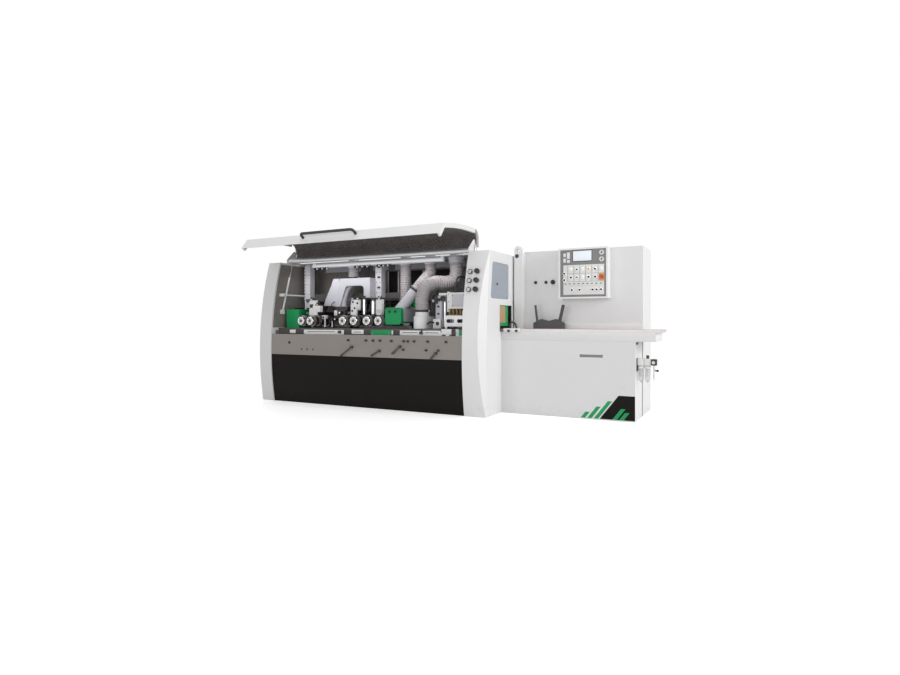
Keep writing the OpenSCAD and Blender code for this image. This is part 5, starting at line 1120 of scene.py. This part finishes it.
# air service unit on the base's end: filter and oiler bowls, gauge, lockable knob, drain and tail pipe
service = {
    "y": 100, "bowls": (2893, 2953), "gaugeX": 3012,
    "boxes": [(2854.2, 2862, 70, 130, 480, 605, "carrier", 2), (2862, 2922, 72, 128, 537, 604, "pale", 6),
              (2924, 2984, 72, 128, 537, 604, "pale", 6), (2986, 3037, 74, 126, 540, 600, "carrier", 5)],
    "bowl": [(27.5, 537), (28.5, 534), (28.5, 512), (26.2, 508), (26.2, 420), (23, 398), (14, 386),
             (0, 384)],
    "collar": [(27, 509), (30, 509), (30, 531), (27, 531)],
    "filter": [(16, 530), (16, 440), (10, 430), (0, 430)],
    "drain": [(7.5, 386), (7.5, 377), (5, 375), (0, 375)],
    "knob": [(12.5, 602), (12.5, 612), (14, 614), (14, 630), (12, 635), (0, 635)],
    "case": [(6, -2), (6, 8), (19.5, 9), (20, 20), (18.5, 22), (16.5, 22), (16, 19.5), (0, 19.5)],
    "tail": [(10.5, 541), (10.5, 505), (8, 500), (8, 450), (10.5, 447), (10.5, 420), (6, 412), (6, 396),
             (0, 395)],
    "lever": [(6, -4), (6, 12), (11, 14), (11, 29), (9, 32), (0, 32)]}
air = Shape().fit(service)
for x in service["bowls"]:
    at = spot(x, service["y"])
    air.turned(at, service["bowl"], "bowl", 36)
    air.turned(at, service["filter"], "pale", 24)
    air.ring(at, service["collar"], "pale", 36)
    air.turned(at, service["drain"], "brass", 16)
air.turned(at, service["knob"], "blackPlastic", 28)
at = front(service["gaugeX"], 70, 570)
air.turned(at, service["case"], "handle", 32)
air.turned(moved(at, z=19.5), [(15.8, 0), (15.8, 0.6), (0, 0.6)], "pale", 32)
air.block(spun(moved(at, 3, 3, 20.4), 0.8), (18, 1.2, 0.6), "redPlastic", 0)
air.turned(spot(service["gaugeX"], service["y"]), service["tail"], "satin", 24)
air.turned(rightward(3020, service["y"], 490), service["lever"], "blackPlastic", 24)
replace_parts(air.done("airService", "pale_plastic"), "air_unit")
print("fronts and infeed end")

# rear: removable panels with louvres and quarter-turn locks, roof plates, louvres of the cabinet door
rear = {"y": 900, "z": (90, 1610), "panels": ((-1275, -455), (-435, 385), (405, 1225)), "sheet": 2.5,
        "round": 22, "inset": 45, "slat": 300, "slatRadius": 9, "gapShadeRadius": 3.5, "gapShadeDrop": 9.5,
        "pitch": 34, "count": 7, "groups": (230, 1290), "aside": 200,
        "grip": ((902, 800), (928, 806), (934, 835), (934, 895), (928, 924), (902, 930)),
        "screws": [(x, 900, z) for x in (-1455, -1345, 1285, 1455) for z in (80, 480, 880, 1280, 1620)]}
louvreTree = Grower("louvres", {"slatLength": "Float", "slatRadius": "Float", "sides": "Int"})
slat = louvreTree.add("GeometryNodeMeshCylinder", {}, {
    "Vertices": louvreTree.asked("sides"), "Radius": louvreTree.asked("slatRadius"),
    "Depth": louvreTree.asked("slatLength")})
lying = louvreTree.add("FunctionNodeEulerToRotation", {}, {0: (0, math.pi / 2, 0)})
louvreTree.onPoints(slat, Rotation=lying)


def louvres(name, spots, length, finish, rider="machine_frame"):
    # near-black rods just below each slat: painted shade in the gaps between the slats
    gaps = [(x, y, z - rear["gapShadeDrop"]) for x, y, z in spots]
    for word, at, long, radius, sides, tone, slot in (
            ("", spots, length, rear["slatRadius"], 14, finish, "light_paint"),
            ("Gaps", gaps, length * 0.97, rear["gapShadeRadius"], 8, "recess", "dark_paint")):
        values = {"slatLength": long * mm, "slatRadius": radius * mm, "sides": sides}
        louvreTree.grow(name + word, pointCloud(name, at), tone, values, slot, rider)


def roundedSheet(x0, x1, y0, y1, r):
    mids = ((x1 - r, y1 - r), (x0 + r, y1 - r), (x0 + r, y0 + r), (x1 - r, y0 + r))
    return [p for q, mid in enumerate(mids) for p in arc(*mid, r, q * math.pi / 2, math.pi / 2, 5)]


panels = Shape()
slatSpots = []
outer = rear["y"] + rear["sheet"]
low, high = rear["z"]
for x0, x1 in rear["panels"]:
    panels.prism(rearward(0, rear["y"]), roundedSheet(-x1, -x0, low, high, rear["round"]), 0, rear["sheet"],
                 "light")
    for x in (x0 + rear["inset"], x1 - rear["inset"]):
        for z in (low + 50, (low + high) / 2, high - 50):
            at = rearward(x, outer, z)
            panels.turned(at, [(16.5, 0), (16.5, 3), (14.5, 5), (0, 5)], "blackPlastic", 28)
            panels.block(spun(moved(at, z=5.8), 0.785), (4.5, 22, 2.5), "steel", 0.6)
    for x in ((x0 + x1) / 2 - rear["aside"], (x0 + x1) / 2 + rear["aside"]):
        panels.pipe(smoothPath([(x, *p) for p in rear["grip"]], 5), 6.5, "handle")
        slatSpots += [(x, outer, z + rear["pitch"] * k) for z in rear["groups"]
                      for k in range(rear["count"])]
panels.done("rearPanels", "light_paint")
louvres("rearLouvres", slatSpots, rear["slat"], "light")
screws("rearScrews", rear["screws"], 7, 4, sides=16, ways=((0, 1, 0),))
roof = {"plates": ((-1230, -45), (-5, 1180)), "y": (260, 850), "z": (1680, 1682), "round": 18, "ring": 13,
        "perRing": 8,
        "screws": [(x, y, 1682) for x in (-1205, -835, -440, -70, 20, 390, 785, 1155) for y in (285, 825)]}
roofPlates = Shape()
for x0, x1 in roof["plates"]:
    roofPlates.prism(Matrix(), roundedSheet(x0, x1, *roof["y"], roof["round"]), *roof["z"], "light")
roofPlates.done("roofPlates", "light_paint")
halfStep = math.pi / roof["perRing"]
rings = [polar(spot(x, dust["y"], roof["z"][1]), crest + roof["ring"], a + halfStep, 0).translation
         for x, crest in pipesUp for a in angles(roof["perRing"])]
screws("roofScrews", roof["screws"] + rings, 5.5, 4, ways=((0, 0, 1),))
door = {"face": 936.5, "x": (1725, 2785), "z": (165, 1650), "sheet": 1.8, "round": 30,
        "groups": (235, 1375), "columns": (2000, 2260, 2520),
        "lock": [(-1689, 847), (-1659, 847), (-1659, 967), (-1689, 967)], "slat": 210, "count": 6}
doorSheet = Shape()
at = rearward(0, door["face"])
outline = roundedSheet(-door["x"][1], -door["x"][0], *door["z"], door["round"])
doorSheet.prism(at, outline, 0, door["sheet"], "cabinet")
doorSheet.sleeve(at, door["lock"], 1.5, 0.4, 21.4, "blackPlastic", True)
doorSheet.done("doorSheet", "light_paint", "cabinet_door")
doorSpots = [(x, door["face"] + door["sheet"], z + rear["pitch"] * k)
             for x in door["columns"] for z in door["groups"] for k in range(door["count"])]
louvres("doorLouvres", doorSpots, door["slat"], "cabinet", "cabinet_door")
print("rear, roof and door")

# switchgear inside the electrical cabinet, seen when its door is open
gear = {"x": (1690, 2770), "z": (200, 1600), "plate": (470, 473), "ducts": (285, 640, 960, 1260, 1540),
        "sideDucts": (1725, 2735),
        "rows": ((1395, 1790, 2300, "pale"), (1105, 1790, 2120, "greyPlate"), (455, 1790, 2680, "pale")),
        "pitch": 36,
        "drives": ((2380, 2520, 1300, 1495), (2550, 2690, 1300, 1495), (2190, 2370, 1000, 1215),
                   (2400, 2540, 1000, 1215), (2560, 2690, 1000, 1215)),
        "vents": 6, "ventPitch": 14, "coils": (1880, 2060, 2240),
        "wires": 7, "firstWire": 2390, "wirePitch": 42,
        "wire": ((0, 58, 935), (0, 75, 900), (12, 82, 800), (0, 72, 700), (0, 58, 662)),
        "wireTones": ("blackPlastic", "bluePlastic", "amber"),
        "standoff": [(9, 0), (9, 34), (16, 34.5), (16, 42), (12, 46), (0, 46)]}
fittings = Shape()
face = gear["plate"][1]
left, right = gear["sideDucts"]
fittings.box(*gear["x"], *gear["plate"], *gear["z"], "zinc", 1)
for x in (gear["x"][0] + 50, gear["x"][1] - 50):
    for z in (gear["z"][0] + 50, gear["z"][1] - 50):
        fittings.turned(rearward(x, 438.5, z), gear["standoff"], "steel", 12)
for z in gear["ducts"]:
    fittings.box(left + 25, right - 25, face, face + 55, z - 22, z + 22, "duct", 3)
    fittings.box(left + 28, right - 28, face + 54, face + 60, z - 25, z + 25, "greyPlate", 2)
for x in gear["sideDucts"]:
    fittings.box(x - 22, x + 22, face, face + 55, gear["ducts"][0] - 20, gear["ducts"][-1] + 20, "duct", 3)
bodies, noses, toggles = {"pale": [], "greyPlate": []}, [], []
for z, x0, x1, tone in gear["rows"]:
    fittings.box(x0 - 25, x1 + 25, face, face + 12, z - 17.5, z + 17.5, "satin", 2)
    for x in (x0 + gear["pitch"] * k for k in range(round((x1 - x0) / gear["pitch"]) + 1)):
        bodies[tone].append((x, face + 38, z))
        noses.append((x, face + 74, z))
        toggles.append((x, face + 90, z + 6))
for x0, x1, z0, z1 in gear["drives"]:
    fittings.box(x0, x1, face, face + 130, z0, z1, "greyPlate", 6)
    fittings.box(x0 + 15, x1 - 15, face + 129, face + 134, z1 - 75, z1 - 20, "blackPlastic", 2)
    for z in (z0 + 20 + gear["ventPitch"] * k for k in range(gear["vents"])):
        fittings.box(x0 + 18, x1 - 18, face + 128, face + 133, z, z + 6, "carrier", 1)
for x in gear["coils"]:
    fittings.box(x - 70, x + 70, face, face + 110, 690, 900, "carrier", 6)
    fittings.box(x - 52, x + 52, face + 108, face + 122, 720, 870, "brass", 10)
for k in range(gear["wires"]):
    run = [(gear["firstWire"] + gear["wirePitch"] * k + x, face + y, z) for x, y, z in gear["wire"]]
    fittings.pipe(smoothPath(run), 6, gear["wireTones"][k % 3], 10)
fittings.done("cabinetGear", "light_paint")
moduleTree = Grower("railModules", {"wide": "Float", "deep": "Float", "tall": "Float"})
edges = {k: moduleTree.asked(key) for k, key in enumerate(("wide", "deep", "tall"))}
brick = moduleTree.add("ShaderNodeCombineXYZ", {}, edges)
moduleTree.onPoints(moduleTree.add("GeometryNodeMeshCube", {}, {"Size": brick}))
for name, spots, (wide, deep, tall), tone in (
        ("breakerBodies", bodies["pale"], (34.5, 52, 85), "pale"),
        ("contactorBodies", bodies["greyPlate"], (34.5, 52, 85), "greyPlate"),
        ("moduleNoses", noses, (33.5, 20, 45), "carrier"),
        ("moduleToggles", toggles, (10, 13, 16), "amber")):
    values = {"wide": wide * mm, "deep": deep * mm, "tall": tall * mm}
    moduleTree.grow(name, pointCloud(name, spots), tone, values, "pale_plastic")
print("cabinet switchgear:", len(noses), "modules")

# floor, backdrop and lights, in metres
stage = {"half": 40.0, "world": 0.52, "floorLift": 0.46, "lamps": {  # place, aim, size, power, spread
    "rightBox": ((8.5, -1.0, 3.4), (1.2, 0, 0.9), (3.5, 3.0), 240, 180),
    "frontBox": ((0.5, -7.5, 2.7), (0.8, 0, 1.0), (5.5, 3.0), 116, 180),
    "lampGlow": ((-0.05, -0.22, 1.620), (-0.05, 0.04, 1.02), (2.3, 0.10), 2.6, 120),
    "topBox": ((0.8, -0.6, 5.6), (0.8, 0, 0), (4.5, 3.0), 45, 180)}}
half = stage["half"]
floorMesh = bpy.data.meshes.new("floorSheet")
floorMesh.from_pydata([(-half, -half, 0), (half, -half, 0), (half, half, 0), (-half, half, 0)], [],
                      [(0, 1, 2, 3)])
floor = linked("floorSheet", floorMesh)


# how much of a ray is a direct look, a reflection or a look through glass
def lookShare(maker):
    path = maker.tree.nodes.new("ShaderNodeLightPath")
    rays = ("Is Camera Ray", "Is Glossy Ray", "Is Transmission Ray")
    looks = [Wire(maker, path.outputs[key]) for key in rays]
    return looks[0].join("MAXIMUM", looks[1]).join("MAXIMUM", looks[2])


ground = Finish("paleFloor")
paleTone = ground.tint(ground.cloud(0.7), (0.84, 0.84, 0.84), (0.86, 0.86, 0.86))
ground.set(Base_Color=paleTone, Roughness=0.5 + ground.cloud(2) * 0.1)
bare = Wire(ground, ground.shader.outputs[0])
lift = ground.add("ShaderNodeEmission", {}, {"Color": (1, 1, 1), "Strength": stage["floorLift"]})
both = ground.add("ShaderNodeAddShader", {}, {0: bare, 1: lift})
shown = ground.add("ShaderNodeMixShader", {}, {0: lookShare(ground), 1: bare, 2: both})
ground.tree.links.new(shown.socket, ground.tree.nodes["Material Output"].inputs["Surface"])
floorMesh.materials.append(ground.material)


class Sky(NodeMaker):
    def __init__(self, name):
        self.world = bpy.data.worlds.new(name)
        self.world.use_nodes = True
        self.tree = self.world.node_tree


sky = Sky("studio")
bpy.context.scene.world = sky.world
dim, full = (sky.add("ShaderNodeBackground", {}, {"Color": (1, 1, 1), "Strength": s})
             for s in (stage["world"], 1.0))
backdrop = sky.add("ShaderNodeMixShader", {}, {0: lookShare(sky), 1: dim, 2: full})
sky.tree.links.new(backdrop.socket, sky.tree.nodes["World Output"].inputs["Surface"])
for name, (at, aim, size, power, spread) in stage["lamps"].items():
    light = bpy.data.lights.new(name, "AREA")
    light.shape, light.size, light.size_y, light.energy = "RECTANGLE", size[0], size[1], power
    light.spread = math.radians(spread)
    lamp = linked(name, light)
    lamp.location = at
    lamp.rotation_euler = (Vector(aim) - Vector(at)).to_track_quat("-Z", "Y").to_euler()
print("stage set")
